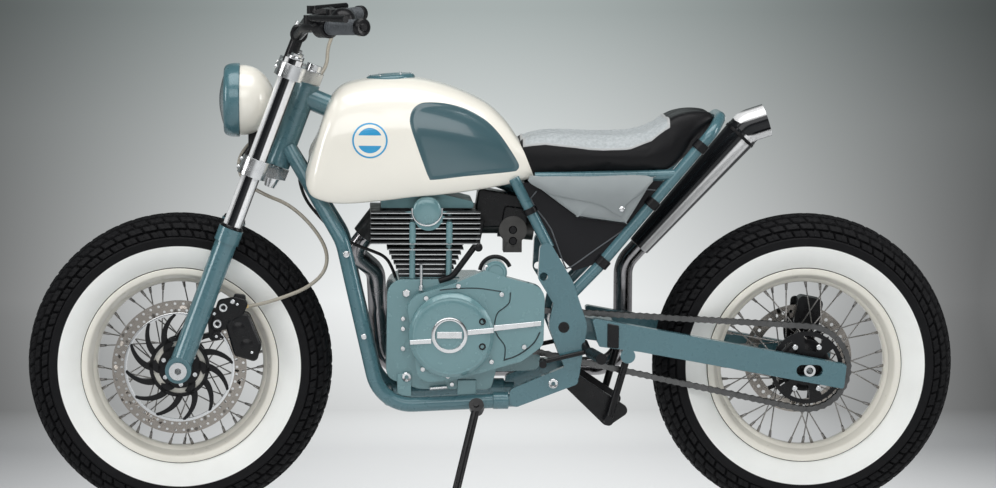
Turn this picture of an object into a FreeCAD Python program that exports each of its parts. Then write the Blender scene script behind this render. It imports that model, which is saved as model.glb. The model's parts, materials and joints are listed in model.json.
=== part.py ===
import FreeCAD, Part
import Sketcher
import math
import os

# Cafe racer motorcycle, drawn upright and then leaned on to its side stand.
# Drawing frame, millimetres: X runs back from the front axle, Y to the right, Z up.
# Heights count from a base line BASE under the axles, where tyres of the drawn size stand.

V = FreeCAD.Vector
X_AXIS = V(1, 0, 0)
Y_AXIS = V(0, 1, 0)
Z_AXIS = V(0, 0, 1)
BASE = 330

SIZES = {
    # stance
    "lean_angle": 7,
    "side_shift": 123,
    "swingarm_length": 532,
    # tyres and rims
    "tyre_radius": 330,
    "tyre_width": 124,
    "bead_radius": 205,
    "rim_flange_height": 12,
    "rim_width": 88,
    "rim_well_depth": 23,
    "rim_wall": 8,
    # wheels
    "spoke_diameter": 4,
    "spoke_cross_angle": 38,
    "hub_barrel_radius": 30,
    "hub_flange_radius": 56,
    "hub_half_width": 40,
    "axle_diameter": 25,
    "axle_bore": 15,
    # brakes and final drive
    "front_disc_radius": 145,
    "rear_disc_radius": 120,
    "disc_band": 29,
    "disc_thickness": 5,
    "chain_pitch": 15.875,
    "chain_height": 14,
    "chain_width": 15,
    "chain_to_tyre": 10.5,
    "rear_teeth": 36,
    "front_teeth": 17,
    "sprocket_thickness": 7,
    # fork
    "rake_angle": 20.5,
    "fork_offset": 46,
    "fork_to_tyre": 9,
    "fork_tube_diameter": 41,
    "slider_diameter": 48,
    "slider_length": 325,
    "lower_yoke_height": 465,
    "lower_yoke_thickness": 24,
    "yoke_spacing": 220,
    "top_yoke_thickness": 26,
    "head_tube_diameter": 52,
    "stem_diameter": 26,
    # bars and lamp
    "bar_diameter": 22,
    "bar_rise": 66,
    "grip_diameter": 33,
    "grip_length": 122,
    "lamp_diameter": 160,
    # frame
    "frame_tube": 32,
    "backbone_diameter": 48,
    "subframe_tube": 25,
    "plate_thickness": 24,
    "pivot_pin_diameter": 24,
    "swingarm_width": 26,
    # engine and exhaust
    "fin_pitch": 11,
    "fin_thickness": 4.5,
    "exhaust_diameter": 42,
    "silencer_diameter": 76,
    # soft parts
    "side_bag_thickness": 14,
    "hose_diameter": 8,
    # running clearances
    "seat_gap": 0.3,
    "running_gap": 0.05,
}

doc = FreeCAD.newDocument("Motorcycle")
sheet = doc.addObject("Spreadsheet::Sheet", "Sizes")
for row, (alias, value) in enumerate(SIZES.items(), start=1):
    sheet.set(f"A{row}", alias)
    sheet.set(f"B{row}", str(value))
    sheet.setAlias(f"B{row}", alias)
doc.recompute()


def size(alias):
    return float(sheet.get(alias))


def half(alias):
    """Cell expression for half of a size, as a diameter's radius."""
    return f"Sizes.{alias} / 2"


GAP = size("seat_gap")
TYRE_R = size("tyre_radius")
CROWN = size("tyre_width") / 2
PIVOT = V(828, 0, 423)
WHEELBASE = PIVOT.x + size("swingarm_length")
FRONT = V(0, 0, BASE)
REAR = V(WHEELBASE, 0, BASE)

# Sideways stations, built outwards from the tyre
SLIDER_R = size("slider_diameter") / 2
FORK_Y = CROWN + size("fork_to_tyre") + SLIDER_R
DISC_T = size("disc_thickness")
DISC_TO_LEG = 6.5
FOOT_HALF = SLIDER_R + 1
FRONT_DISC_Y = -(FORK_Y - SLIDER_R - DISC_TO_LEG - DISC_T / 2)
CHAIN_W = size("chain_width")
CHAIN_Y = -(CROWN + size("chain_to_tyre") + CHAIN_W / 2)
ARM_W = size("swingarm_width")
ARM_TO_CHAIN = 15.5
ARM_Y = CHAIN_W / 2 - CHAIN_Y + ARM_TO_CHAIN + ARM_W / 2
DISC_TO_ARM = 37
REAR_DISC_Y = ARM_Y - ARM_W / 2 - DISC_TO_ARM
CASE_TO_CHAIN = 4.5
CASE_Y = CHAIN_W / 2 - CHAIN_Y + CASE_TO_CHAIN
PLATE_T = size("plate_thickness")
PLATE_IN = CASE_Y + GAP
PLATE_OUT = PLATE_IN + PLATE_T
CRADLE_Y = CASE_Y + 8

# Steering axis and fork legs
RAKE = math.radians(size("rake_angle"))
LEG_DIR = V(math.sin(RAKE), 0, math.cos(RAKE))
U_STEER = V(math.cos(RAKE), 0, -math.sin(RAKE))
STEM = FRONT + U_STEER * size("fork_offset")

# Parked pose: rolled to the left about the centre line of the tyres' crown, on the ground.
GROUND_Z = BASE - TYRE_R
LEAN = FreeCAD.Rotation(X_AXIS, size("lean_angle"))
CROWN_LINE = V(0, 0, GROUND_Z + CROWN)
PARK = FreeCAD.Placement(
    CROWN_LINE - LEAN.multVec(CROWN_LINE) + V(-WHEELBASE / 2, size("side_shift"), -GROUND_Z), LEAN)

parts = []


def sub_part(label, forms):
    """Name a finished piece, made of one or more forms, and set it down in the parked pose."""
    obj = doc.addObject("Part::Compound", label)
    obj.Label = label
    obj.Links = forms
    obj.Placement = PARK
    parts.append(obj)


# Forms: primitives and booleans, with sizes that are cell expressions or numbers

def set_size(obj, name, value):
    if isinstance(value, str):
        obj.setExpression(name, value)
    else:
        setattr(obj, name, value)


def towards(start, direction):
    """Placement that turns a form's own Z to direction and moves it to start."""
    return FreeCAD.Placement(start, FreeCAD.Rotation(Z_AXIS, direction))


def bar(start, end, radius, name="bar"):
    obj = doc.addObject("Part::Cylinder", name)
    set_size(obj, "Radius", radius)
    obj.Height = (end - start).Length
    obj.Placement = towards(start, end - start)
    return obj


def across(x, z, y_from, y_to, radius, name="pin"):
    """Round bar that lies across the bike at (x, z)."""
    return bar(V(x, y_from, z), V(x, y_to, z), radius, name)


def cone(start, end, r_start, r_end, name="cone"):
    obj = doc.addObject("Part::Cone", name)
    set_size(obj, "Radius1", r_start)
    set_size(obj, "Radius2", r_end)
    obj.Height = (end - start).Length
    obj.Placement = towards(start, end - start)
    return obj


def block(low, high, name="block"):
    obj = doc.addObject("Part::Box", name)
    obj.Length = high.x - low.x
    obj.Width = high.y - low.y
    obj.Height = high.z - low.z
    obj.Placement.Base = low
    return obj


def fused(forms, name="fused"):
    obj = doc.addObject("Part::MultiFuse", name)
    obj.Shapes = forms
    obj.Refine = True
    return obj


def cut_by(base, tools, name="cut"):
    for tool in tools:
        obj = doc.addObject("Part::Cut", name)
        obj.Base = base
        obj.Tool = tool
        obj.Refine = True
        base = obj
    return base


def mirrored(form):
    obj = doc.addObject("Part::Mirroring", form.Name + "_right")
    obj.Source = form
    obj.Normal = Y_AXIS
    return obj


def pair(form):
    return [form, mirrored(form)]


BEND_STEP = math.radians(20)


def bent_line(points, bend):
    """Corners of a tube's centre line: each bend of radius bend is cut into equal short chords."""
    line = [points[0]]
    for before, corner, after in zip(points, points[1:], points[2:]):
        back = (before - corner).normalize()
        ahead = (after - corner).normalize()
        half_angle = back.getAngle(ahead) / 2
        shorter = min((before - corner).Length, (after - corner).Length)
        cut = min(bend / math.tan(half_angle), 0.45 * shorter)
        radius = cut * math.tan(half_angle)
        centre = corner + (back + ahead).normalize() * (radius / math.sin(half_angle))
        turn = math.pi - 2 * half_angle
        chords = max(1, round(turn / BEND_STEP))
        outward = (corner + back * cut - centre).normalize()
        for i in range(chords + 1):
            angle = turn * i / chords
            line.append(centre + (outward * math.cos(angle) - back * math.sin(angle)) * radius)
    return line + [points[-1]]


def tube(points, radius, bend, name="tube"):
    """Round tube swept along straight runs, mitred through its bends."""
    spine = doc.addObject("Part::Polygon", name + "_line")
    spine.Nodes = bent_line(points, bend)
    ring = doc.addObject("Part::Circle", name + "_section")
    set_size(ring, "Radius", radius)
    ring.Placement = towards(points[0], points[1] - points[0])
    obj = doc.addObject("Part::Sweep", name)
    obj.Sections = [ring]
    obj.Spine = (spine, [f"Edge{i + 1}" for i in range(len(spine.Nodes) - 1)])
    obj.Solid = True
    obj.Transition = "Right corner"
    return obj


# Outlines of rounded plates

def crossing(first, second):
    """Point where two lines, each given by two points, cross."""
    (x1, y1), (x2, y2) = first
    (x3, y3), (x4, y4) = second
    bend = (x2 - x1) * (y4 - y3) - (y2 - y1) * (x4 - x3)
    share = ((x3 - x1) * (y4 - y3) - (y3 - y1) * (x4 - x3)) / bend
    return (x1 + share * (x2 - x1), y1 + share * (y2 - y1))


# A turn past this, counted anticlockwise, is an outline that bends inwards.
INWARD = 1.5 * math.pi


def hull_outline(circles):
    """Closed outline round circles (u, v, r) given anticlockwise: outer tangents joined by arcs,
    or straight to each other where the outline turns inwards."""
    count = len(circles)
    normals = []
    lines = []
    for i in range(count):
        u1, v1, r1 = circles[i]
        u2, v2, r2 = circles[(i + 1) % count]
        span = math.hypot(u2 - u1, v2 - v1)
        heading = math.atan2(v2 - v1, u2 - u1)
        normal = heading - math.pi / 2 + math.asin((r1 - r2) / span)
        normals.append(normal)
        lines.append([(u1 + r1 * math.cos(normal), v1 + r1 * math.sin(normal)),
                      (u2 + r2 * math.cos(normal), v2 + r2 * math.sin(normal))])
    turns = [(normals[i] - normals[i - 1]) % (2 * math.pi) for i in range(count)]
    for i in range(count):
        if turns[i] > INWARD:
            corner = crossing(lines[i - 1], lines[i])
            lines[i - 1][1] = corner
            lines[i][0] = corner
    edges = []
    for i in range(count):
        u, v, r = circles[i]
        if 1e-6 < turns[i] <= INWARD:
            mid = normals[i - 1] + turns[i] / 2
            edges.append([lines[i - 1][1], (u + r * math.cos(mid), v + r * math.sin(mid)), lines[i][0]])
        edges.append(lines[i])
    return edges


def draw(sketch, edges):
    """Add lines (two points) and arcs (three points) to a sketch."""
    for edge in edges:
        corners = [V(u, v, 0) for u, v in edge]
        curve = Part.LineSegment(*corners) if len(corners) == 2 else Part.Arc(*corners)
        sketch.addGeometry(curve, False)


def draw_circle(sketch, u, v, radius):
    """Add a circle whose radius is held by a cell expression or a number."""
    number = sketch.addGeometry(Part.Circle(V(u, v, 0), Z_AXIS, 10), False)
    limit = sketch.addConstraint(Sketcher.Constraint("Radius", number, 10))
    if isinstance(radius, str):
        sketch.setExpression(f"Constraints[{limit}]", radius)
    else:
        sketch.setDatum(limit, radius)


def new_body(name):
    return doc.addObject("PartDesign::Body", name)


def sketch_in(body, role, offset, name):
    """Sketch on one of the body's own planes, moved along its normal by offset."""
    sketch = body.newObject("Sketcher::SketchObject", name)
    plane = next(f for f in body.Origin.OriginFeatures if f.Role == role)
    sketch.AttachmentSupport = (plane, "")
    sketch.MapMode = "FlatFace"
    sketch.AttachmentOffset = FreeCAD.Placement(V(0, 0, offset), FreeCAD.Rotation())
    return sketch


def add_pad(body, sketch, depth, name):
    pad = body.newObject("PartDesign::Pad", name)
    pad.Profile = sketch
    set_size(pad, "Length", depth)
    body.Tip = pad
    return pad


def add_through_pocket(body, sketch, name):
    pocket = body.newObject("PartDesign::Pocket", name)
    pocket.Profile = sketch
    pocket.Type = "ThroughAll"
    pocket.Midplane = True
    body.Tip = pocket
    return pocket


def add_polar_pattern(body, feature, sketch, count, name):
    pattern = body.newObject("PartDesign::PolarPattern", name)
    pattern.Originals = [feature]
    pattern.Axis = (sketch, ["N_Axis"])
    pattern.Angle = 360
    pattern.Occurrences = count
    body.Tip = pattern


def side_plate(circles, y_inner, depth, name, holes=()):
    """Plate in the side plane, padded from y_inner to the left by depth, with round holes."""
    body = new_body(name)
    sketch = sketch_in(body, "XZ_Plane", -y_inner, name + "_outline")
    draw(sketch, hull_outline(circles))
    for x, z, radius in holes:
        draw_circle(sketch, x, z, radius)
    add_pad(body, sketch, depth, name + "_pad")
    return body


def lathe(profile, placement, name, ties=()):
    """Body turned about its own Y axis from a closed outline of (radius, y) points;
    ties bind a point's radius to a cell."""
    body = new_body(name)
    sketch = sketch_in(body, "XY_Plane", 0, name + "_section")
    count = len(profile)
    for i in range(count):
        draw(sketch, [[profile[i], profile[(i + 1) % count]]])
    for i in range(count):
        sketch.addConstraint(Sketcher.Constraint("Coincident", i, 2, (i + 1) % count, 1))
    for index, expression in ties:
        limit = Sketcher.Constraint("DistanceX", -1, 1, index, 1, profile[index][0])
        number = sketch.addConstraint(limit)
        sketch.setExpression(f"Constraints[{number}]", expression)
    turned = body.newObject("PartDesign::Revolution", name + "_turned")
    turned.Profile = sketch
    turned.ReferenceAxis = (sketch, ["V_Axis"])
    turned.Angle = 360
    body.Tip = turned
    body.Placement = placement
    return body


def moved_to(point):
    return FreeCAD.Placement(point, FreeCAD.Rotation())


def lofted(rings, name):
    """Solid skinned straight from ring to ring; each ring is a list of corners."""
    sections = []
    for number, ring in enumerate(rings):
        section = doc.addObject("Part::Polygon", f"{name}_ring{number}")
        section.Nodes = ring
        section.Close = True
        sections.append(section)
    obj = doc.addObject("Part::Loft", name)
    obj.Sections = sections
    obj.Solid = True
    obj.Ruled = True
    return obj


# Tyres and rims

BEAD_R = size("bead_radius")
FLANGE_R = BEAD_R + size("rim_flange_height")
RIM_Y = size("rim_width") / 2
BEAD_Y = RIM_Y - 10
WELL_R = BEAD_R - size("rim_well_depth")
WELL_IN = WELL_R - size("rim_wall")
WELL_Y = 11

# Crown centre, tread edge and widest point, as shares of the half width, then the bead
tyre_side = [(TYRE_R - 0.18 * CROWN, 0.62 * CROWN), (TYRE_R - 0.73 * CROWN, CROWN), (BEAD_R + GAP, BEAD_Y)]
tyre_profile = [(TYRE_R, 0)] + tyre_side + [(r, -y) for r, y in reversed(tyre_side)]

rim_side = [(WELL_R, WELL_Y), (BEAD_R, BEAD_Y), (FLANGE_R, RIM_Y - 1), (BEAD_R - 6, RIM_Y), (WELL_IN, WELL_Y - 2)]
rim_profile = rim_side + [(r, -y) for r, y in reversed(rim_side)]

for end, centre in (("front", FRONT), ("rear", REAR)):
    sub_part(f"{end}_tyre", [lathe(tyre_profile, moved_to(centre), f"{end}_tyre_form",
                                   [(0, "Sizes.tyre_radius")])])
    sub_part(f"{end}_rim", [lathe(rim_profile, moved_to(centre), f"{end}_rim_form",
                                  [(1, "Sizes.bead_radius")])])


# Hubs with crossed spokes

AXLE_R = size("axle_diameter") / 2
HUB_BORE = AXLE_R + size("running_gap")
HUB_Y = size("hub_half_width")
FLANGE_EDGE = size("hub_flange_radius")
FLANGE_T = 7
SHOULDER_R = AXLE_R + 20
SPOKE_COUNT = 36
SPOKE_SIDES = 4
SPOKE_END_R = WELL_IN - GAP - size("spoke_diameter") / 8


def spoke(centre, number):
    """Straight prism from a hub flange to the rim's well, crossing its neighbours."""
    side = 1 if number % 2 else -1
    cross = size("spoke_cross_angle") * (1 if number % 4 < 2 else -1)
    start_angle = math.radians(number * 360 / SPOKE_COUNT)
    end_angle = start_angle + math.radians(cross)
    inner = FLANGE_EDGE - 4
    start = centre + V(inner * math.cos(start_angle), side * (HUB_Y - FLANGE_T / 2), inner * math.sin(start_angle))
    end = centre + V(SPOKE_END_R * math.cos(end_angle), side * (WELL_Y - 5), SPOKE_END_R * math.sin(end_angle))
    obj = doc.addObject("Part::Prism", "spoke")
    obj.Polygon = SPOKE_SIDES
    obj.setExpression("Circumradius", half("spoke_diameter"))
    obj.Height = (end - start).Length
    obj.Placement = towards(start, end - start)
    return obj


def spoked_hub(end, centre, left_face, right_face):
    barrel = size("hub_barrel_radius")
    profile = [(HUB_BORE, left_face), (SHOULDER_R, left_face), (FLANGE_EDGE, -HUB_Y),
               (FLANGE_EDGE, FLANGE_T - HUB_Y), (barrel, 2 * FLANGE_T - HUB_Y),
               (barrel, HUB_Y - 2 * FLANGE_T), (FLANGE_EDGE, HUB_Y - FLANGE_T),
               (FLANGE_EDGE, HUB_Y), (SHOULDER_R, right_face), (HUB_BORE, right_face)]
    core = lathe(profile, moved_to(centre), f"{end}_hub_core", [(2, "Sizes.hub_flange_radius")])
    spokes = [spoke(centre, number) for number in range(SPOKE_COUNT)]
    sub_part(f"{end}_hub", [fused([core] + spokes, f"{end}_hub_form")])


SPROCKET_T = size("sprocket_thickness")
spoked_hub("front", FRONT, FRONT_DISC_Y + DISC_T / 2, FORK_Y - FOOT_HALF - 5)
spoked_hub("rear", REAR, CHAIN_Y + SPROCKET_T / 2, REAR_DISC_Y - DISC_T / 2)


# Brake discs, a ring on swept arms

def ring_sector(r_in, r_out, a_in, a_out, width_in, width_out):
    """Four-sided window between two radii; angles in degrees, swept from a_in to a_out."""
    def at(radius, degrees):
        return (radius * math.cos(math.radians(degrees)), radius * math.sin(math.radians(degrees)))
    inner = [at(r_in, a_in + width_in), at(r_in, a_in + width_in / 2), at(r_in, a_in)]
    outer = [at(r_out, a_out), at(r_out, a_out + width_out / 2), at(r_out, a_out + width_out)]
    return [inner, [inner[2], outer[0]], outer, [outer[2], inner[0]]]


def brake_disc(label, centre, radius_cell, y_mid, arms):
    body = new_body(label + "_form")
    outline = sketch_in(body, "XZ_Plane", DISC_T / -2, label + "_outline")
    draw_circle(outline, 0, 0, f"Sizes.{radius_cell}")
    draw_circle(outline, 0, 0, AXLE_R + 12)
    add_pad(body, outline, "Sizes.disc_thickness", label + "_pad")
    inner = size(radius_cell) - size("disc_band")
    pitch = 360 / arms
    window = sketch_in(body, "XZ_Plane", 0, label + "_window")
    draw(window, ring_sector(SHOULDER_R + 6, inner - 6, 0, pitch * 0.8, pitch * 0.45, pitch * 0.7))
    pocket = add_through_pocket(body, window, label + "_pocket")
    add_polar_pattern(body, pocket, window, arms, label + "_windows")
    body.Placement = moved_to(centre + Y_AXIS * y_mid)
    sub_part(label, [body])


brake_disc("front_disc", FRONT, "front_disc_radius", FRONT_DISC_Y, 12)
brake_disc("rear_disc", REAR, "rear_disc_radius", REAR_DISC_Y, 8)


# Sprockets and chain

FRONT_SPROCKET = V(745, 0, 415)
OUTPUT_SHAFT_R = 14
CHAIN_HALF = size("chain_height") / 2


def pitch_radius(teeth):
    return size("chain_pitch") / (2 * math.sin(math.pi / teeth))


def sprocket(label, centre, teeth, bore, windows):
    """Toothed plate: a pocket cuts each gap between teeth, and arc windows lighten the web."""
    tip = pitch_radius(teeth) - CHAIN_HALF - GAP
    root = tip - 5
    body = new_body(label + "_form")
    outline = sketch_in(body, "XZ_Plane", SPROCKET_T / -2, label + "_outline")
    draw_circle(outline, 0, 0, tip)
    draw_circle(outline, 0, 0, bore)
    add_pad(body, outline, "Sizes.sprocket_thickness", label + "_pad")
    step = math.pi / teeth
    wide = 1.3 * tip * math.sin(step)
    narrow = 0.7 * tip * math.sin(step)
    gap_outline = [(tip + 3, -wide), (tip + 3, wide), (root, narrow), (root, -narrow)]
    gap = sketch_in(body, "XZ_Plane", 0, label + "_gap")
    for i in range(4):
        draw(gap, [[gap_outline[i], gap_outline[(i + 1) % 4]]])
    pocket = add_through_pocket(body, gap, label + "_gap_pocket")
    add_polar_pattern(body, pocket, gap, int(teeth), label + "_teeth")
    if windows:
        window = sketch_in(body, "XZ_Plane", 0, label + "_window")
        pitch = 360 / windows
        draw(window, ring_sector(SHOULDER_R + 6, root - 9, 0, 0, pitch * 0.6, pitch * 0.6))
        slot = add_through_pocket(body, window, label + "_slot")
        add_polar_pattern(body, slot, window, windows, label + "_windows")
    body.Placement = moved_to(centre + Y_AXIS * CHAIN_Y)
    sub_part(label, [body])


sprocket("rear_sprocket", REAR, size("rear_teeth"), AXLE_R + 12, 6)
sprocket("front_sprocket", FRONT_SPROCKET, size("front_teeth"), OUTPUT_SHAFT_R, 0)

REAR_PITCH_R = pitch_radius(size("rear_teeth"))
FRONT_PITCH_R = pitch_radius(size("front_teeth"))
LINK_WAIST = 2.2


def chain_line():
    """Pitch line of the chain: two tangents and two arcs, as (length, function of distance)."""
    span = REAR - FRONT_SPROCKET
    length = math.hypot(span.x, span.z)
    lift = math.asin((REAR_PITCH_R - FRONT_PITCH_R) / length)
    heading = math.atan2(span.z, span.x)
    straight = length * math.cos(lift)
    low_normal = heading - math.pi / 2 - lift
    high_normal = heading + math.pi / 2 + lift
    rear_arc = (high_normal - low_normal) * REAR_PITCH_R
    front_arc = (2 * math.pi - high_normal + low_normal) * FRONT_PITCH_R

    def at(distance, offset):
        if distance < straight:
            centre, radius, normal = FRONT_SPROCKET, FRONT_PITCH_R, low_normal
            run = distance
        elif distance < straight + rear_arc:
            centre, radius, run = REAR, REAR_PITCH_R, 0
            normal = low_normal + (distance - straight) / REAR_PITCH_R
        elif distance < 2 * straight + rear_arc:
            centre, radius, normal = REAR, REAR_PITCH_R, high_normal
            run = distance - straight - rear_arc
        else:
            centre, radius, run = FRONT_SPROCKET, FRONT_PITCH_R, 0
            normal = high_normal + (distance - 2 * straight - rear_arc) / FRONT_PITCH_R
        out = V(math.cos(normal), 0, math.sin(normal))
        along = V(-out.z, 0, out.x)
        return centre + out * (radius + offset) + along * run

    return 2 * straight + rear_arc + front_arc, at


def chain_loop():
    """One closed band whose outer edge is wide at each pin and waisted between pins."""
    total, at = chain_line()
    links = round(total / size("chain_pitch"))
    corners = []
    for i in range(2 * links):
        offset = CHAIN_HALF if i % 2 == 0 else CHAIN_HALF - LINK_WAIST
        corners.append(at(total * i / (2 * links), offset) + Y_AXIS * (CHAIN_Y - CHAIN_W / 2))
    band = Part.Face(Part.makePolygon(corners + [corners[0]])).extrude(Y_AXIS * CHAIN_W)
    inner = [Part.Arc(*[V(u, 0, v) for u, v in edge]) if len(edge) == 3 else
             Part.LineSegment(*[V(u, 0, v) for u, v in edge])
             for edge in hull_outline([(FRONT_SPROCKET.x, FRONT_SPROCKET.z, FRONT_PITCH_R - CHAIN_HALF),
                                       (REAR.x, REAR.z, REAR_PITCH_R - CHAIN_HALF)])]
    hole = Part.Face(Part.Wire([edge.toShape() for edge in inner]))
    hole.translate(Y_AXIS * (CHAIN_Y - CHAIN_W))
    obj = doc.addObject("Part::Feature", "drive_chain_form")
    obj.Shape = band.cut(hole.extrude(Y_AXIS * (2 * CHAIN_W)))
    return obj


sub_part("drive_chain", [chain_loop()])


# Axles: hollow spindles with a nut at each end

SLIDER_FOOT = 28
NUT_R = 19
FRONT_AXLE_END = FORK_Y + FOOT_HALF + 14
REAR_AXLE_END = ARM_Y + ARM_W / 2 + 2


def hollow_axle(label, centre, end, nut_face):
    bore = size("axle_bore") / 2
    if nut_face < end - 3:
        profile = [(bore, -end), (NUT_R, -end), (NUT_R, -nut_face), (AXLE_R, -nut_face),
                   (AXLE_R, nut_face), (NUT_R, nut_face), (NUT_R, end), (bore, end)]
    else:
        profile = [(bore, -end), (AXLE_R, -end), (AXLE_R, end), (bore, end)]
    sub_part(label, [lathe(profile, moved_to(centre), label + "_form", [(0, half("axle_bore"))])])


hollow_axle("front_axle", FRONT, FRONT_AXLE_END, FORK_Y + FOOT_HALF + GAP)
hollow_axle("rear_axle", REAR, REAR_AXLE_END, REAR_AXLE_END)


# Fork and steering

def leg_point(height, side):
    """Point on a fork leg's centre line, height measured from the axle along the leg."""
    return FRONT + LEG_DIR * height + Y_AXIS * (side * FORK_Y)


def stem_point(height):
    return STEM + LEG_DIR * height


TUBE_R = size("fork_tube_diameter") / 2
SLIDER_TOP = size("slider_length")
COLLAR_LENGTH = 32
TUBE_ENTRY = 40
LOWER_T = size("lower_yoke_thickness")
TOP_T = size("top_yoke_thickness")
LOWER_MID = size("lower_yoke_height")
TOP_MID = LOWER_MID + size("yoke_spacing")
TUBE_STAND = 14
TUBE_TOP = TOP_MID + TOP_T / 2 + TUBE_STAND

sub_part("fork_tubes", pair(bar(leg_point(SLIDER_TOP - TUBE_ENTRY, -1), leg_point(TUBE_TOP, -1),
                                half("fork_tube_diameter"), "fork_tube")))

slider = fused([
    bar(leg_point(0, -1), leg_point(SLIDER_TOP - COLLAR_LENGTH, -1), half("slider_diameter"), "slider_leg"),
    bar(leg_point(SLIDER_TOP - COLLAR_LENGTH, -1), leg_point(SLIDER_TOP, -1), SLIDER_R + 3, "slider_collar"),
    across(FRONT.x, FRONT.z, -FORK_Y - FOOT_HALF, FOOT_HALF - FORK_Y, SLIDER_FOOT, "slider_foot")])
slider_bores = [
    bar(leg_point(SLIDER_TOP - TUBE_ENTRY, -1), leg_point(SLIDER_TOP, -1), half("fork_tube_diameter"), "tube_bore"),
    across(FRONT.x, FRONT.z, -FRONT_AXLE_END, FRONT_AXLE_END, half("axle_diameter"), "spindle_bore")]
sub_part("fork_sliders", pair(cut_by(slider, slider_bores, "slider")))

CLAMP_R = TUBE_R + 11
STEM_R = size("stem_diameter") / 2
HEAD_R = size("head_tube_diameter") / 2
STEER_FRAME = FreeCAD.Rotation(U_STEER, Y_AXIS, LEG_DIR, "ZXY")


def yoke(name, height, thickness_cell, stem_boss, clamp_extra):
    """Fork clamp in the steering frame: a plate round three bosses, with deeper fork clamps."""
    thickness = size(thickness_cell)
    body = new_body(name)
    outline = sketch_in(body, "XY_Plane", thickness / -2, name + "_outline")
    draw(outline, hull_outline([(0, -FORK_Y, CLAMP_R - 4), (size("fork_offset"), 0, stem_boss),
                                (0, FORK_Y, CLAMP_R - 4)]))
    add_pad(body, outline, f"Sizes.{thickness_cell}", name + "_pad")
    clamps = sketch_in(body, "XY_Plane", -thickness / 2 - clamp_extra, name + "_clamps")
    bores = sketch_in(body, "XY_Plane", 0, name + "_bores")
    for side in (-1, 1):
        draw_circle(clamps, 0, side * FORK_Y, CLAMP_R)
        draw_circle(bores, 0, side * FORK_Y, half("fork_tube_diameter"))
    add_pad(body, clamps, thickness + 2 * clamp_extra, name + "_clamp_pad")
    add_through_pocket(body, bores, name + "_bore_pocket")
    body.Placement = FreeCAD.Placement(FRONT + LEG_DIR * height, STEER_FRAME)
    return body


STEM_TOP = TOP_MID - TOP_T / 2 - GAP
lower_yoke = fused([
    yoke("lower_yoke_clamp", LOWER_MID, "lower_yoke_thickness", HEAD_R + 2, 8),
    bar(stem_point(LOWER_MID), stem_point(STEM_TOP), half("stem_diameter"), "steering_stem"),
    cone(stem_point(LOWER_MID - LOWER_T / 2 - 24), stem_point(LOWER_MID), 12, 20, "stem_nub")])
sub_part("lower_yoke", [lower_yoke])
top_yoke = fused([
    yoke("top_yoke_clamp", TOP_MID, "top_yoke_thickness", HEAD_R, 3),
    bar(stem_point(TOP_MID), stem_point(TOP_MID + TOP_T / 2 + 14), 17, "stem_nut")])
sub_part("top_yoke", [top_yoke])

# Handlebar on two risers, grips and levers
BAR_R = size("bar_diameter") / 2
BAR_SETBACK = 56
RISER_Y = 46
RISER_R = 15
RISER_FOOT = stem_point(TOP_MID + TOP_T / 2) - U_STEER * BAR_SETBACK
BAR_C = RISER_FOOT + LEG_DIR * size("bar_rise")
BAR_DIR = V(76, -115, 5).normalize()
GRIP_START = BAR_C + V(66, -288, 24)
GRIP_END = GRIP_START + BAR_DIR * size("grip_length")
BAR_KNEE = GRIP_START - BAR_DIR * 90
left_bar = tube([BAR_C, BAR_C - Y_AXIS * 110, BAR_KNEE, GRIP_END], half("bar_diameter"), 60, "left_bar")
riser = fused([
    bar(RISER_FOOT - Y_AXIS * RISER_Y, BAR_C - Y_AXIS * RISER_Y, RISER_R, "riser"),
    bar(BAR_C - Y_AXIS * (RISER_Y + 12), BAR_C - Y_AXIS * (RISER_Y - 12), BAR_R + 9, "bar_clamp")])
sub_part("handlebar", [fused(pair(left_bar) + pair(riser), "handlebar_form")])

grip = cut_by(bar(GRIP_START, GRIP_END, half("grip_diameter"), "grip_outer"),
              [bar(GRIP_START, GRIP_END, BAR_R + GAP, "grip_bore")], "grip")
sub_part("grips", pair(grip))

HOUSING_LENGTH = 34
housing_end = GRIP_START - BAR_DIR * GAP
housing_start = GRIP_START - BAR_DIR * HOUSING_LENGTH
LEVER_AHEAD = V(-0.62, -0.41, 0.35).normalize()
lever_root = GRIP_START - BAR_DIR * (HOUSING_LENGTH - 12)
lever_pivot = lever_root + LEVER_AHEAD * 40
lever_knuckle = lever_pivot + BAR_DIR * 14 + LEVER_AHEAD * 6
lever_tip = lever_knuckle + BAR_DIR * 125 - LEVER_AHEAD * 6
lever = fused([
    bar(housing_start, housing_end, BAR_R + 11, "switch_housing"),
    bar(lever_root, lever_pivot, 8, "perch"),
    bar(lever_pivot - Z_AXIS * 9, lever_pivot + Z_AXIS * 9, 11, "lever_eye"),
    bar(lever_pivot, lever_knuckle, 6, "lever_bend"),
    cone(lever_knuckle, lever_tip, 6, 7.5, "lever_blade")])
bar_room = bar(housing_start - BAR_DIR * 5, GRIP_END, half("bar_diameter"), "bar_room")
RESERVOIR = BAR_C + V(78, 232, 16)
reservoir = fused([
    bar(RESERVOIR, RESERVOIR + Z_AXIS * 28, 22, "reservoir"),
    bar(RESERVOIR + Z_AXIS * 10, V(housing_start.x, -housing_start.y, housing_start.z) + V(8, 6, 4), 8,
        "reservoir_arm")])
left_lever = cut_by(lever, [bar_room], "left_lever")
right_lever = cut_by(fused([mirrored(lever), reservoir]), [mirrored(bar_room)], "right_lever")
sub_part("control_levers", [left_lever, right_lever])

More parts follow.
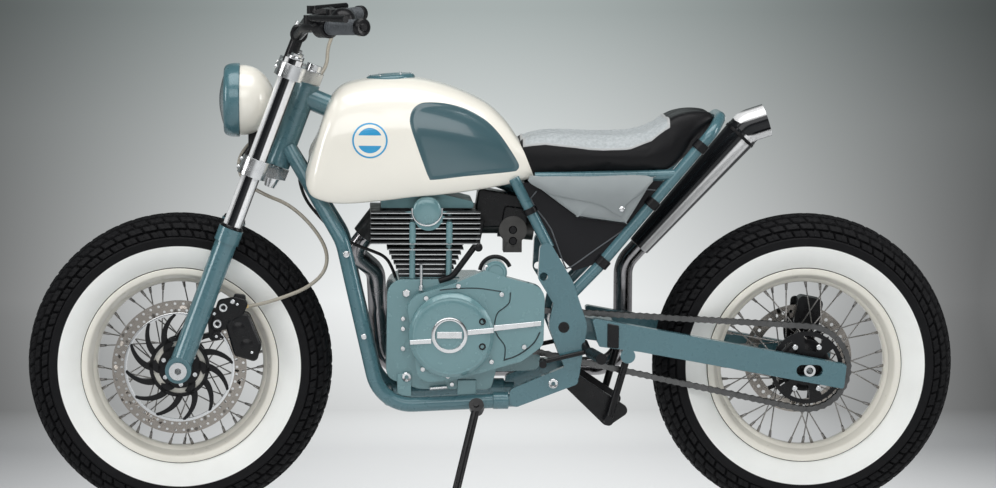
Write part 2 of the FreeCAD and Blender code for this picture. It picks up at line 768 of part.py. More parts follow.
# Headlamp between the fork tubes, on a bracket from the lower yoke
LAMP_R = size("lamp_diameter") / 2
LAMP_SHARE = 0.672
LAMP_REACH = 84
LAMP_C = FRONT + LEG_DIR * (LOWER_MID + size("yoke_spacing") * LAMP_SHARE) - X_AXIS * LAMP_REACH
BACKWARDS = FreeCAD.Placement(LAMP_C, FreeCAD.Rotation(Y_AXIS, X_AXIS))
shell_profile = [(0, GAP), (LAMP_R - 4, GAP), (LAMP_R - 10, 22), (LAMP_R - 30, 50), (LAMP_R - 54, 68), (0, 74)]
rim_profile = [(0, 0), (LAMP_R, 0), (LAMP_R - 3, -25), (LAMP_R - 20, -38), (0, -49)]
headlamp_shell = lathe(shell_profile, BACKWARDS, "headlamp_shell_form")
sub_part("headlamp_shell", [headlamp_shell])
sub_part("headlamp_rim", [lathe(rim_profile, BACKWARDS, "headlamp_rim_form", [(1, half("lamp_diameter"))])])
stay_top = LAMP_C + V(30, 0, 16 - LAMP_R)
stay_foot = stem_point(LOWER_MID) - U_STEER * (size("fork_offset") + CLAMP_R - 4)
stay = fused([bar(stay_top, stay_top - Z_AXIS * 44, 13, "stay_post"),
              bar(stay_top - Z_AXIS * 34, stay_foot, 9, "stay_arm")])
sub_part("headlamp_stay", [cut_by(stay, [headlamp_shell, lower_yoke], "stay")])

# Front brake: caliper behind the left leg, held by lugs on the slider
PAD_GAP = 2.5


def caliper(name, centre, tilt, disc_cell, disc_y, outer_y, depth, half_height):
    """Block over the disc's edge with a slot that the disc turns in."""
    radius = size(disc_cell)
    near = radius - 36
    far = radius + 8
    corner = 12
    circles = []
    for r, h in ((near, -half_height), (far, -half_height), (far, half_height), (near, half_height)):
        h -= math.copysign(corner, h)
        circles.append((r * math.cos(tilt) - h * math.sin(tilt), r * math.sin(tilt) + h * math.cos(tilt), corner))
    block_form = side_plate([(centre.x + u, centre.z + v, r) for u, v, r in circles], outer_y + depth, depth, name)
    slot = across(centre.x, centre.z, disc_y - DISC_T / 2 - PAD_GAP, disc_y + DISC_T / 2 + PAD_GAP,
                  f"Sizes.{disc_cell} + {PAD_GAP}", name + "_slot")
    return cut_by(block_form, [slot], name + "_slotted")


CALIPER_OUT = FRONT_DISC_Y - 26
front_caliper = caliper("front_caliper_block", FRONT, math.radians(31), "front_disc_radius", FRONT_DISC_Y,
                        CALIPER_OUT, 46, 38)
hanger = side_plate([(62, 468, 10), (66, 420, 10), (122, 400, 14), (134, 462, 10)], 16 - FORK_Y, 14, "caliper_hanger")
front_caliper = cut_by(fused([front_caliper, hanger]),
                       [bar(leg_point(0, -1), leg_point(SLIDER_TOP, -1), half("slider_diameter"), "leg_room")],
                       "front_caliper_form")
sub_part("front_caliper", [front_caliper])

# Front brake hose, from the right lever down behind the fork and round to the caliper
hose_points = [
    RESERVOIR + V(0, 0, 6), RESERVOIR + V(-6, -40, -26), RESERVOIR + V(-18, -92, -56), V(318, 100, 976),
    V(296, 62, 944), V(250, 44, 880), V(196, 46, 846), V(140, 46, 800), V(122, 44, 762), V(136, 20, 724),
    V(184, -26, 700), V(236, -44, 682), V(286, -56, 638), V(320, -62, 584), V(316, -66, 538),
    V(278, -72, 504), V(222, -75, 482), V(176, -75, 468), V(136, -81, 462)]
hose = tube(hose_points, half("hose_diameter"), 60, "brake_hose_tube")
sub_part("brake_hose", [cut_by(hose, [front_caliper, right_lever], "brake_hose_form")])


# Frame

HEAD_LOW = LOWER_MID + LOWER_T / 2 + 2
HEAD_HIGH = TOP_MID - TOP_T / 2 - 2
SUB_R = size("subframe_tube") / 2
SUB_Y = CASE_Y + 8
BONE_R = size("backbone_diameter") / 2
BONE_START = stem_point(HEAD_HIGH - 30)
BONE_END = V(738, 0, 720)
head_tube = bar(stem_point(HEAD_LOW), stem_point(HEAD_HIGH), half("head_tube_diameter"), "head_tube")
head_bore = bar(stem_point(HEAD_LOW - 1), stem_point(HEAD_HIGH + 1), STEM_R + 1, "head_bore")
spine = cut_by(fused([
    head_tube,
    bar(BONE_START, BONE_END, half("backbone_diameter"), "backbone"),
    across(BONE_END.x, BONE_END.z, -SUB_Y, SUB_Y, 12, "seat_cross_tube")]), [head_bore], "frame_spine_form")
sub_part("frame_spine", [spine])

FRAME_R = size("frame_tube") / 2
RAIL = V(702, -CRADLE_Y, 262)
CRADLE_FRONT = V(434, -CRADLE_Y, 250)
cradle_top = stem_point(HEAD_LOW + 42) + V(10, -18, 0)
cradle_line = [cradle_top, V(352, -CRADLE_Y + 10, 606), CRADLE_FRONT, RAIL]
cradle_tube = tube(cradle_line, half("frame_tube"), 84, "cradle_tube")
rail_collar = bar(RAIL - X_AXIS * 26, RAIL + X_AXIS * 8, FRAME_R + 3, "rail_collar")
front_cross = across(452, 262, -CRADLE_Y, CRADLE_Y, 12, "front_cross_tube")
cradle = cut_by(fused(pair(cradle_tube) + pair(rail_collar) + [front_cross]), [head_tube], "frame_cradle_form")
sub_part("frame_cradle", [cradle])

# Pivot plates: an S-shaped casting each side, from the seat tube down to the rail's end
PIN = "Sizes.pivot_pin_diameter / 2"
LINK_PIN = V(846, 0, 298)
plate_outline = [(850, 318, 12), (838, 424, 40), (816, 508, 34), (790, 590, 15), (786, 532, 14),
                 (822, 478, 16), (826, 428, 30)]
plate_blade = side_plate(plate_outline, -PLATE_IN, "Sizes.plate_thickness", "pivot_blade",
                         [(784, 533, 9), (PIVOT.x, PIVOT.z, PIN)])
plate_foot = side_plate([(RAIL.x + 24, RAIL.z + 2, 14), (848, 308, 12), (846, 330, 12), (RAIL.x + 24, RAIL.z + 16, 14)],
                        -PLATE_IN, "Sizes.plate_thickness", "pivot_foot")
rail_socket = bar(RAIL + X_AXIS * 8, RAIL + X_AXIS * 30, FRAME_R - 2, "rail_socket")
plate = fused([plate_blade, plate_foot, rail_socket], "pivot_plate")
sub_part("pivot_plates", pair(plate))

# Swing arm with its pin, axle slots and lower lugs
ROOT_Y = CASE_Y - 24
ARM_IN = ARM_W / 2 - ARM_Y
LUG = V(966, 0, 362)
LUG_R = 16
arm_blade = side_plate([(908, 388, 6), (993, 377, 6), (REAR.x + 70, 297, 6), (REAR.x + 74, 338, 6), (993, 419, 6),
                        (896, 437, 6)], ARM_IN, "Sizes.swingarm_width", "swingarm_blade")
axle_slot = side_plate([(REAR.x - 16, REAR.z, AXLE_R), (REAR.x + 16, REAR.z, AXLE_R)], ARM_IN + 10,
                       ARM_W + 20, "axle_slot")
arm_lug = across(LUG.x, LUG.z, -ARM_Y - ARM_W / 2, ARM_IN, LUG_R, "swingarm_lug")
root_bridge = side_plate([(PIVOT.x, PIVOT.z, 26), (930, 392, 8), (930, 420, 8)], ROOT_Y, 2 * ROOT_Y, "swingarm_root")
cross_beam = block(V(900, -ARM_Y, 390), V(940, ARM_Y, 428), "swingarm_beam")
swingarm = cut_by(fused(pair(arm_blade) + pair(arm_lug) + [root_bridge, cross_beam]),
                  pair(axle_slot) + [across(PIVOT.x, PIVOT.z, -ROOT_Y, ROOT_Y, PIN, "pivot_bore")], "swingarm_form")
sub_part("swingarm", [swingarm])
sub_part("swingarm_pin", [across(PIVOT.x, PIVOT.z, -PLATE_OUT, PLATE_OUT, PIN, "pivot_pin")])

# Lower linkage: cross tube under the plates, link plates and pull rods up to the swing arm's lugs
LINK_Y = PLATE_IN - 2
LINK_LOW = V(926, 0, 220)
LUG_GAP = 1
link_plate = side_plate([(LINK_PIN.x, LINK_PIN.z, 15), (LINK_LOW.x, LINK_LOW.z, 15), (956, 238, 13),
                         (LINK_PIN.x + 10, LINK_PIN.z + 8, 12)], -LINK_Y + 10, 10, "link_plate")
pull_dir = (LUG - LINK_LOW).normalize()
pull_rod = bar(LINK_LOW - Y_AXIS * ARM_Y, LUG - pull_dir * (LUG_R + LUG_GAP) - Y_AXIS * ARM_Y, 8, "pull_rod")
linkage = fused(pair(link_plate) + pair(pull_rod) + [
    across(LINK_PIN.x, LINK_PIN.z, -PLATE_IN, PLATE_IN, 10, "link_cross_tube"),
    across(LINK_LOW.x, LINK_LOW.z, -ARM_Y - 10, ARM_Y + 10, 10, "link_cross_pin")], "suspension_link_form")
sub_part("suspension_link", [linkage])

# Subframe: seat tube, seat rail and rear loop each side, with clamps on the loop
LOOP_LOW = V(842, -SUB_Y, 490)
LOOP_HIGH = V(1148, -SUB_Y, 846)
loop_line = [LOOP_LOW, V(902, -SUB_Y, 552), LOOP_HIGH, V(1168, 52 - SUB_Y, 872), V(1168, 0, 872)]
loop_dir = (LOOP_HIGH - loop_line[1]).normalize()
seat_tube = bar(V(719, -SUB_Y, 744), V(796, -SUB_Y, 594), "Sizes.subframe_tube / 2 - 2", "seat_tube")
seat_rail = bar(V(704, -SUB_Y, 744), V(1066, -SUB_Y, 752), "Sizes.subframe_tube / 2 - 1", "seat_rail")
clamps = [bar(loop_line[1] + loop_dir * d, loop_line[1] + loop_dir * (d + 20), SUB_R + 4, "loop_clamp")
          for d in (4, 170, 330)]
side_tubes = [tube(loop_line, half("subframe_tube"), 40, "rear_loop"), seat_tube, seat_rail] + clamps
subframe_side = fused(side_tubes, "subframe_side")
subframe = cut_by(fused(pair(subframe_side)), [plate, mirrored(plate), spine], "subframe_form")
sub_part("subframe", [subframe])


# Engine

GEARBOX_LEFT = CHAIN_Y + CHAIN_W / 2 + 8
engine_case = fused([
    side_plate([(474, 330, 28), (520, 308, 22), (660, 300, 16), (664, 330, 20), (660, 464, 28), (640, 498, 26),
                (482, 490, 34)], CASE_Y, 2 * CASE_Y, "crankcase"),
    side_plate([(690, 344, 24), (762, 340, 18), (756, 470, 26), (690, 486, 24)], CASE_Y, CASE_Y - GEARBOX_LEFT,
               "gearbox"),
    across(FRONT_SPROCKET.x, FRONT_SPROCKET.z, CHAIN_Y - CHAIN_W / 2, GEARBOX_LEFT + 10, OUTPUT_SHAFT_R,
           "output_shaft"),
    block(V(476, -60, 500), V(604, 60, 526), "barrel_deck"),
    block(V(470, -CRADLE_Y, RAIL.z), V(500, CRADLE_Y, 320), "front_mount"),
    block(V(600, -CRADLE_Y, RAIL.z), V(640, CRADLE_Y, 306), "rear_mount")])
engine_case = cut_by(engine_case, [cradle], "engine_case_form")
sub_part("engine_case", [engine_case])

COVER_C = (585, 409)
COVER_R = 91
COVER_DEPTH = 58
cover_outline = [(540, 336, 30), (596, 334, 22), (726, 372, 24), (758, 398, 26), (752, 484, 34), (700, 506, 26),
                 (660, 520, 26), (606, 486, 36), (528, 462, 36)]
left_cover = fused([
    side_plate(cover_outline, -CASE_Y, 34, "primary_cover"),
    across(COVER_C[0], COVER_C[1], -CASE_Y - COVER_DEPTH + 8, -CASE_Y, COVER_R, "round_cover"),
    cone(V(COVER_C[0], 8 - CASE_Y - COVER_DEPTH, COVER_C[1]), V(COVER_C[0], -CASE_Y - COVER_DEPTH, COVER_C[1]),
         COVER_R, COVER_R - 8, "round_cover_edge"),
    across(680, 542, -CASE_Y - 26, -CASE_Y + 30, 25, "starter_end")])
right_cover = mirrored(fused([
    side_plate([(540, 340, 30), (700, 340, 26), (716, 470, 30), (520, 466, 32)], -CASE_Y, 24, "timing_cover"),
    across(COVER_C[0], COVER_C[1], -CASE_Y - 38, -CASE_Y, COVER_R - 14, "timing_round")]))
plates_room = pair(side_plate([(x, z, r + GAP) for x, z, r in plate_outline], -PLATE_IN + 1, PLATE_T + 40, "blade_room"))
sub_part("clutch_cover", [cut_by(left_cover, [plates_room[0], engine_case], "left_cover_form"),
                          cut_by(right_cover, [plates_room[1]], "right_cover_form")])

# Cylinder: square fins round a core, wide at the head and narrowing down the barrel
BARREL_X = 530
DECK_Z = 526
HEAD_Z = 596
FIN_PITCH = size("fin_pitch")


def fin_stack(name, z_low, z_high, half_x, half_y, taper):
    """Core with a fin every pitch; each fin down from the top is smaller by taper."""
    core = block(V(BARREL_X - 0.7 * half_x, -0.7 * half_y, z_low), V(BARREL_X + 0.7 * half_x, 0.7 * half_y, z_high),
                 name + "_core")
    forms = [core]
    count = int((z_high - z_low) / FIN_PITCH)
    for i in range(count):
        z = z_high - FIN_PITCH * (i + 0.75)
        shrink = 1 - taper * i
        fin = block(V(BARREL_X - half_x * shrink, -half_y * shrink, z),
                    V(BARREL_X + half_x * shrink, half_y * shrink, z + size("fin_thickness")), name + "_fin")
        fin.setExpression("Height", "Sizes.fin_thickness")
        forms.append(fin)
    return forms


barrel = fused(fin_stack("barrel", DECK_Z, HEAD_Z, 82, 88, 0.06), "barrel_stack")
sub_part("cylinder_barrel", [barrel])
HEAD_TOP = 676
ROCKER_TOP = 708
rocker_cover = side_plate([(440, HEAD_TOP + 6, 6), (630, HEAD_TOP + 2, 2), (626, HEAD_TOP + 8, 8), (560, ROCKER_TOP - 8, 8),
                           (446, ROCKER_TOP - 10, 10)], 76, 152, "rocker_cover")
head_forms = fin_stack("head", HEAD_Z, HEAD_TOP, 118, 100, 0)
PORT = V(401, 44, 604)
PORT_DIR = V(-45, 8, -60).normalize()
exhaust_boss = bar(PORT - PORT_DIR * 60, PORT, 29, "exhaust_boss")
intake_boss = bar(V(600, -24, 642), V(652, -24, 642), 27, "intake_boss")
plug_boss = across(536, 662, -106, -60, 31, "plug_boss")
cylinder_head = fused(head_forms + [rocker_cover, exhaust_boss, intake_boss, plug_boss], "cylinder_head_form")
sub_part("cylinder_head", [cylinder_head])

CARB_Y = -24
carburettor = fused([
    bar(V(652 + GAP, CARB_Y, 642), V(694, CARB_Y, 642), 25, "inlet_rubber"),
    across(720, 628, CARB_Y - 34, CARB_Y + 34, 30, "carburettor_body"),
    bar(V(690, CARB_Y, 634), V(766, CARB_Y, 626), 24, "carburettor_throat"),
    block(V(700, CARB_Y - 24, 578), V(740, CARB_Y + 24, 620), "float_bowl")])
sub_part("carburettor", [carburettor])

# Exhaust: header down between the cradle tubes, along the right side and up into a megaphone
PIPE_R = size("exhaust_diameter") / 2
PIPE_Y = PLATE_OUT + 32
PIPE_UP = V(978, PIPE_Y + 12, 300)
SIL_DIR = V(260, 0, 290).normalize()
SIL_LOW = V(1012, PIPE_UP.y, 569)
pipe_line = [PORT + PORT_DIR * GAP, PORT + PORT_DIR * 44, V(425, 96, 522), V(430, PIPE_Y, 430),
             V(440, PIPE_Y, 298), V(PIPE_UP.x, PIPE_UP.y, PIPE_UP.z), V(PIPE_UP.x, PIPE_UP.y, 531), SIL_LOW]
sub_part("exhaust_pipe", [tube(pipe_line, half("exhaust_diameter"), 62, "exhaust_pipe_form")])
SIL_R = size("silencer_diameter") / 2
SIL_HIGH = SIL_LOW + SIL_DIR * 345
TIP_DIR = V(0.95, 0, 0.31).normalize()
silencer = fused([
    cone(SIL_LOW + SIL_DIR * GAP, SIL_HIGH, PIPE_R + 4, half("silencer_diameter"), "megaphone"),
    bar(SIL_HIGH - TIP_DIR * 16, SIL_HIGH + TIP_DIR * 46, SIL_R - 0.5, "silencer_tip")])
sub_part("silencer", [silencer])


# Tank: straight-skinned sections with a channel underneath, leaned back at both ends

def tank_ring(x_top, z_top, x_low, z_low, half_y, knee):
    """Corners of one section; knee is how far its upper flank is dished."""
    rise = z_top - z_low
    outline = [(0, 1.0), (0.42, 0.975), (0.74 - knee / 2, 0.87), (0.95 - knee, 0.66), (1.0 - knee / 3, 0.40),
               (1.0, 0.16), (0.93, 0.03), (0.70, 0.0), (0.66, 0.12)]
    flank = [V(x_low + (x_top - x_low) * up, half_y * side, z_low + rise * up) for side, up in outline]
    return flank + [V(p.x, -p.y, p.z) for p in reversed(flank[1:])]


tank_rings = [
    tank_ring(303, 850, 272, 752, 76, 0),
    tank_ring(322, 905, 275, 722, 100, 0),
    tank_ring(350, 938, 292, 700, 116, 0),
    tank_ring(396, 952, 345, 688, 126, 0),
    tank_ring(456, 958, 431, 694, 130, 0),
    tank_ring(514, 955, 505, 703, 130, 0.10),
    tank_ring(568, 943, 564, 708, 128, 0.14),
    tank_ring(619, 924, 620, 715, 124, 0.14),
    tank_ring(666, 899, 672, 723, 117, 0.12),
    tank_ring(702, 866, 718, 732, 108, 0.06),
    tank_ring(730, 828, 764, 744, 96, 0)]
TUNNEL_Y = BONE_R + 6
bone_dir = (BONE_END - BONE_START).normalize()
tunnel = block(V(0, -TUNNEL_Y, -260), V((BONE_END - BONE_START).Length + 60, TUNNEL_Y, BONE_R + GAP), "tank_tunnel")
tunnel.Placement = FreeCAD.Placement(BONE_START - bone_dir * 40, FreeCAD.Rotation(X_AXIS, bone_dir)).multiply(
    moved_to(V(0, -TUNNEL_Y, -260)))
head_room = bar(stem_point(HEAD_LOW - 40), stem_point(HEAD_HIGH + 40), HEAD_R + 6, "head_room")
rocker_room = block(V(424, -86, 660), V(648, 86, ROCKER_TOP + 8), "rocker_room")
tank = cut_by(lofted(tank_rings, "tank_shell"), [tunnel, head_room, rocker_room, cradle, subframe], "fuel_tank_form")
sub_part("fuel_tank", [tank])
CAP_C = V(455, 0, 958)
cap = cut_by(bar(CAP_C - Z_AXIS * 12, CAP_C + Z_AXIS * 5, 36, "cap_disc"), [tank], "fuel_cap_form")
sub_part("fuel_cap", [cap])


# Seat: hard-edged base, dished top and raised tail, skinned straight from section to section

def seat_ring(x_top, z_top, x_low, z_low, half_y):
    rise = z_top - z_low
    outline = [(0, 1.0), (0.6, 0.985), (0.88, 0.9), (1.0, 0.62), (0.98, 0.0)]
    flank = [V(x_low + (x_top - x_low) * up, half_y * side, z_low + rise * up) for side, up in outline]
    return flank + [V(p.x, -p.y, p.z) for p in reversed(flank[1:])]


SEAT_AHEAD = 2
seat_rings = [
    seat_ring(731 + SEAT_AHEAD, 826, 764 + SEAT_AHEAD, 746, 92),
    seat_ring(786, 833, 790, 752, 108),
    seat_ring(880, 832, 882, 766, 120),
    seat_ring(970, 832, 966, 768, 121),
    seat_ring(1024, 842, 1020, 770, 116),
    seat_ring(1062, 876, 1064, 776, 106),
    seat_ring(1106, 888, 1112, 822, 88),
    seat_ring(1150, 887, 1156, 864, 62)]
seat = cut_by(lofted(seat_rings, "seat_shell"), [subframe], "seat_form")
sub_part("seat", [seat])

# Side panels inside the frame's triangle, and the leather bag on the left one
PANEL_T = 6
panel_outline = [(742, 734, 4), (800, 600, 4), (850, 548, 4), (905, 566, 4), (1052, 734, 4)]
panel = side_plate(panel_outline, PANEL_T / 2 - SUB_Y, PANEL_T, "side_panel")
panel = cut_by(panel, [plate, subframe, spine], "side_panel_form")
sub_part("side_panels", pair(panel))
bag = side_plate([(756, 742, 6), (860, 668, 8), (952, 656, 8), (1012, 743, 8)], -SUB_Y - SUB_R - GAP,
                 "Sizes.side_bag_thickness", "side_bag_form")
sub_part("side_bag", [bag])

# Rear brake caliper on its carrier plate
REAR_CALIPER_DEPTH = 44
rear_caliper = caliper("rear_caliper_block", REAR, math.radians(79), "rear_disc_radius", REAR_DISC_Y,
                       REAR_DISC_Y + 24 - REAR_CALIPER_DEPTH, REAR_CALIPER_DEPTH, 28)
carrier_y = REAR_DISC_Y + 24
carrier = side_plate([(REAR.x, REAR.z, 24), (REAR.x + 44, REAR.z + 118, 10), (REAR.x - 4, REAR.z + 126, 10)],
                     carrier_y + 7, 7, "caliper_carrier")
spindle_room = across(REAR.x, REAR.z, -REAR_AXLE_END, REAR_AXLE_END, half("axle_diameter"), "spindle_room")
sub_part("rear_caliper", [cut_by(fused([rear_caliper, carrier]), [spindle_room], "rear_caliper_form")])

# Foot rests with the gear lever on the left and the brake pedal on the right
PEG = V(884, -PLATE_OUT - 34, 372)
peg = fused([
    bar(V(872, -PLATE_OUT + 12, 388), V(878, -PLATE_OUT - 8, 374), 9, "peg_hanger"),
    bar(V(878, -PLATE_OUT - 8, 374), PEG, 9, "peg_bracket"),
    bar(PEG, PEG + V(16, -95, 0), 12, "peg"),
    bar(V(878, -PLATE_OUT - 12, 372), V(780, -PLATE_OUT - 18, 350), 5, "pedal_arm"),
    bar(V(782, -PLATE_OUT - 12, 350), V(780, -PLATE_OUT - 58, 350), 8, "pedal_tip")])
sub_part("footpegs", pair(cut_by(peg, [plate], "footpeg")))

# Clutch cable: out of the back of the head tube, down between the cradle tubes and into the case
cable_points = [V(239, 0, 785), V(256, 0, 750), V(261, -2, 716), V(274, -4, 684), V(300, -6, 653), V(334, -10, 617),
                V(366, -14, 596), V(410, -18, 580), V(446, -20, 566), V(462, -18, 536), V(470, -16, 508)]
cable = tube(cable_points, 3.5, 40, "control_cable_tube")
sub_part("control_cable", [cut_by(cable, [spine, cradle, engine_case], "control_cable_form")])


# Side stand on the left rail, its foot flat on the ground

def from_ground(x, y, z):
    """Point of the upright drawing for a point given in the parked pose."""
    return PARK.inverse().multVec(V(x, y, z))


GROUND_UP = LEAN.inverted().multVec(Z_AXIS)
STAND_PIVOT = V(640, -CRADLE_Y - 36, RAIL.z - 8)
STAND_SWEEP = 62
STAND_SPREAD = 285
STAND_FOOT = from_ground(STAND_PIVOT.x - WHEELBASE / 2 - STAND_SWEEP, size("side_shift") - STAND_SPREAD, 0)
STAND_FOLDED = V(262, -30, 10).normalize()
stand_dir = (STAND_FOOT - STAND_PIVOT).normalize()
STAND_AXIS = stand_dir.cross(STAND_FOLDED).normalize()
STAND_PIN_R = 6
KNUCKLE_HALF = 9


def on_stand_axis(distance):
    return STAND_PIVOT + STAND_AXIS * distance


stand = fused([
    bar(on_stand_axis(-KNUCKLE_HALF), on_stand_axis(KNUCKLE_HALF), 16, "stand_knuckle"),
    bar(STAND_PIVOT, STAND_FOOT + GROUND_UP * 6, 9, "stand_leg"),
    bar(STAND_FOOT, STAND_FOOT + GROUND_UP * 7, 24, "stand_foot")])
stand_bore = bar(on_stand_axis(-40), on_stand_axis(40), STAND_PIN_R + size("running_gap"), "stand_bore")
sub_part("side_stand", [cut_by(stand, [stand_bore], "side_stand_form")])
bracket = fused([
    bar(on_stand_axis(-20), on_stand_axis(12), STAND_PIN_R, "stand_pin"),
    bar(on_stand_axis(-20), on_stand_axis(-KNUCKLE_HALF - GAP), 13, "stand_boss"),
    bar(on_stand_axis(-20), V(STAND_PIVOT.x, -CRADLE_Y - 4, RAIL.z), 10, "stand_arm")])
sub_part("stand_bracket", [cut_by(bracket, [cradle], "stand_bracket_form")])


# Checks and export

doc.recompute()
for obj in doc.Objects:
    bad = [state for state in obj.State if state in ("Invalid", "Error")]
    if bad:
        raise RuntimeError(f"{obj.Label}: {bad}")
for obj in parts:
    if obj.Shape.isNull() or not obj.Shape.isValid():
        raise RuntimeError(f"{obj.Label}: shape is not valid")
os.makedirs("parts", exist_ok=True)
for obj in parts:
    obj.Shape.exportStep(f"parts/{obj.Label}.step")
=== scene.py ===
import json
import math

import bmesh
import bpy
import numpy as np
from bpy.props import FloatProperty, IntProperty, PointerProperty
from bpy.types import Operator, Panel, PropertyGroup
from mathutils import Matrix, Vector


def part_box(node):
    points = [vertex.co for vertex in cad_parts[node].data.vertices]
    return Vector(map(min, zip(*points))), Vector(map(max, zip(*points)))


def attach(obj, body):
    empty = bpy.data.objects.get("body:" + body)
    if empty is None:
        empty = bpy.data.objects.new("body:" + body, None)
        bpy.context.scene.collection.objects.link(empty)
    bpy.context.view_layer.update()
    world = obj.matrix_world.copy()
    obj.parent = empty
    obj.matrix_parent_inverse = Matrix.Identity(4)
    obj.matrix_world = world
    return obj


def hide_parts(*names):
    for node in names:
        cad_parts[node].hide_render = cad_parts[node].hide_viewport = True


bl_info = {
    "name": "Cafe Racer Motorcycle",
    "version": (1, 0, 0),
    "blender": (4, 5, 0),
    "location": "View3D > Sidebar > Motorcycle",
    "description": "Dresses a cafe racer motorcycle piece by piece",
    "category": "Object",
}

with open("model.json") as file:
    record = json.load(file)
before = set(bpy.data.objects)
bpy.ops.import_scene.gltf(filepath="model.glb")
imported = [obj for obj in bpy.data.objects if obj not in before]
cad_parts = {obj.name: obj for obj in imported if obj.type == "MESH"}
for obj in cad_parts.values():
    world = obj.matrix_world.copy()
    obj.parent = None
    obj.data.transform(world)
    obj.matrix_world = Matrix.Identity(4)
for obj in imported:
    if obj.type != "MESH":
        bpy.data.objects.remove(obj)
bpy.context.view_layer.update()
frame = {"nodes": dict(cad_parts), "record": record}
NODES = frame["nodes"]
BODY_OF = {node: body for body, nodes in frame["record"]["behaviour"]["bodies"].items() for node in nodes}


# Drawing frame: upright millimetres, x back from the front axle, y to the right, z up

LEAN = math.radians(7)
CROWN = 62
AXLE_Z = 330
WHEELBASE = 1360
SIDE_SHIFT = 123
FRONT = np.array([0.0, 0, AXLE_Z])
REAR = np.array([float(WHEELBASE), 0, AXLE_Z])
RAKE = math.radians(20.5)
LEG = np.array([math.sin(RAKE), 0, math.cos(RAKE)])
ACROSS = np.array([math.cos(RAKE), 0, -math.sin(RAKE)])
STEM = FRONT + ACROSS * 46
Y = np.array([0.0, 1, 0])
X = np.array([1.0, 0, 0])
Z = np.array([0.0, 0, 1])


def parked(points):
    """Parked metres of upright millimetre points: a roll of LEAN about the tyres' crown line, then the shift
    that centres the bike, x' = x - half the wheelbase."""
    p = np.asarray(points, float)
    c, s = math.cos(LEAN), math.sin(LEAN)
    x, y, z = p[..., 0], p[..., 1], p[..., 2] - CROWN
    return np.stack([x - WHEELBASE / 2, y * c - z * s + SIDE_SHIFT, y * s + z * c + CROWN], -1) / 1000


def upright(points):
    """The inverse of parked: metres back to upright millimetres."""
    p = np.asarray(points, float) * 1000
    c, s = math.cos(LEAN), math.sin(LEAN)
    y, z = p[..., 1] - SIDE_SHIFT, p[..., 2] - CROWN
    return np.stack([p[..., 0] + WHEELBASE / 2, y * c + z * s, -y * s + z * c + CROWN], -1)


def unit(v):
    v = np.asarray(v, float)
    return v / np.linalg.norm(v)


def side_axes(direction):
    """Two unit vectors square to direction and to each other."""
    d = unit(direction)
    ref = Y if abs(d[1]) < 0.9 else X
    a = unit(np.cross(ref, d))
    return a, np.cross(d, a)


# Shapes: each is a pair (vertices, list of face arrays), in upright millimetres

def quads(nu, nv, wrap_u=False, wrap_v=False):
    """Four-sided faces of an nu by nv grid: each joins (i, j), (i+1, j), (i+1, j+1), (i, j+1)."""
    i = np.arange(nu if wrap_u else nu - 1)[:, None]
    j = np.arange(nv if wrap_v else nv - 1)[None, :]
    k, l = (i + 1) % nu, (j + 1) % nv
    return np.stack([i * nv + j, k * nv + j, k * nv + l, i * nv + l], -1).reshape(-1, 4)


def grid(points, wrap_u=False, wrap_v=False, caps=False):
    """Surface through an array (nu, nv, 3); caps closes both ends of u with a flat face."""
    nu, nv = points.shape[:2]
    faces = [quads(nu, nv, wrap_u, wrap_v)]
    if caps:
        faces += [np.arange(nv)[None, ::-1], (nu - 1) * nv + np.arange(nv)[None, :]]
    return points.reshape(-1, 3), faces


def merged(shapes):
    """One shape out of many, their faces renumbered."""
    verts, faces, base = [], [], 0
    for v, f in shapes:
        verts.append(v)
        faces += [a + base for a in f]
        base += len(v)
    return np.concatenate(verts), faces


def smooth_line(points, per=8, closed=False):
    """Catmull-Rom line: on each span, 0.5 (2 p1 + (p2 - p0) t + (2 p0 - 5 p1 + 4 p2 - p3) t^2
    + (3 p1 - p0 - 3 p2 + p3) t^3), with per samples a span."""
    p = np.asarray(points, float)
    n = len(p)
    if closed:
        i = np.arange(n)
        p0, p1, p2, p3 = p[i - 1], p, p[(i + 1) % n], p[(i + 2) % n]
    else:
        q = np.concatenate([[2 * p[0] - p[1]], p, [2 * p[-1] - p[-2]]])
        p0, p1, p2, p3 = q[:-3], q[1:-2], q[2:-1], q[3:]
    t = (np.arange(per) / per).reshape(1, -1, 1)
    a, b, c, d = (k[:, None, :] for k in (p0, p1, p2, p3))
    line = 0.5 * (2 * b + (c - a) * t + (2 * a - 5 * b + 4 * c - d) * t ** 2 + (3 * b - a - 3 * c + d) * t ** 3)
    line = line.reshape(-1, p.shape[1])
    return line if closed else np.concatenate([line, p[-1:]])


def spun(profile, centre, axis, n=96, closed=False):
    """Surface of revolution: P(i, j) = centre + axis a_j + r_j (A cos t_i + B sin t_i), profile rows (r, a)."""
    profile = np.asarray(profile, float)
    d = unit(axis)
    a, b = side_axes(d)
    t = 2 * math.pi * np.arange(n) / n
    ring = np.cos(t)[:, None] * a + np.sin(t)[:, None] * b
    points = np.asarray(centre) + profile[None, :, 1:2] * d + profile[None, :, 0:1] * ring[:, None, :]
    return grid(points, wrap_u=True, wrap_v=closed)


def rod(start, end, r, r_end=None, chamfer=1.0, n=32):
    """Round bar or cone with chamfered ends, closed on its axis."""
    start, end = np.asarray(start, float), np.asarray(end, float)
    length = np.linalg.norm(end - start)
    q = r if r_end is None else r_end
    profile = [(0, 0), (r - chamfer, 0), (r, chamfer), (q, length - chamfer), (q - chamfer, length),
               (0, length)]
    return spun(profile, start, end - start, n)


def across(x, z, y0, y1, r):
    """Round bar across the bike."""
    return rod([x, y0, z], [x, y1, z], r)


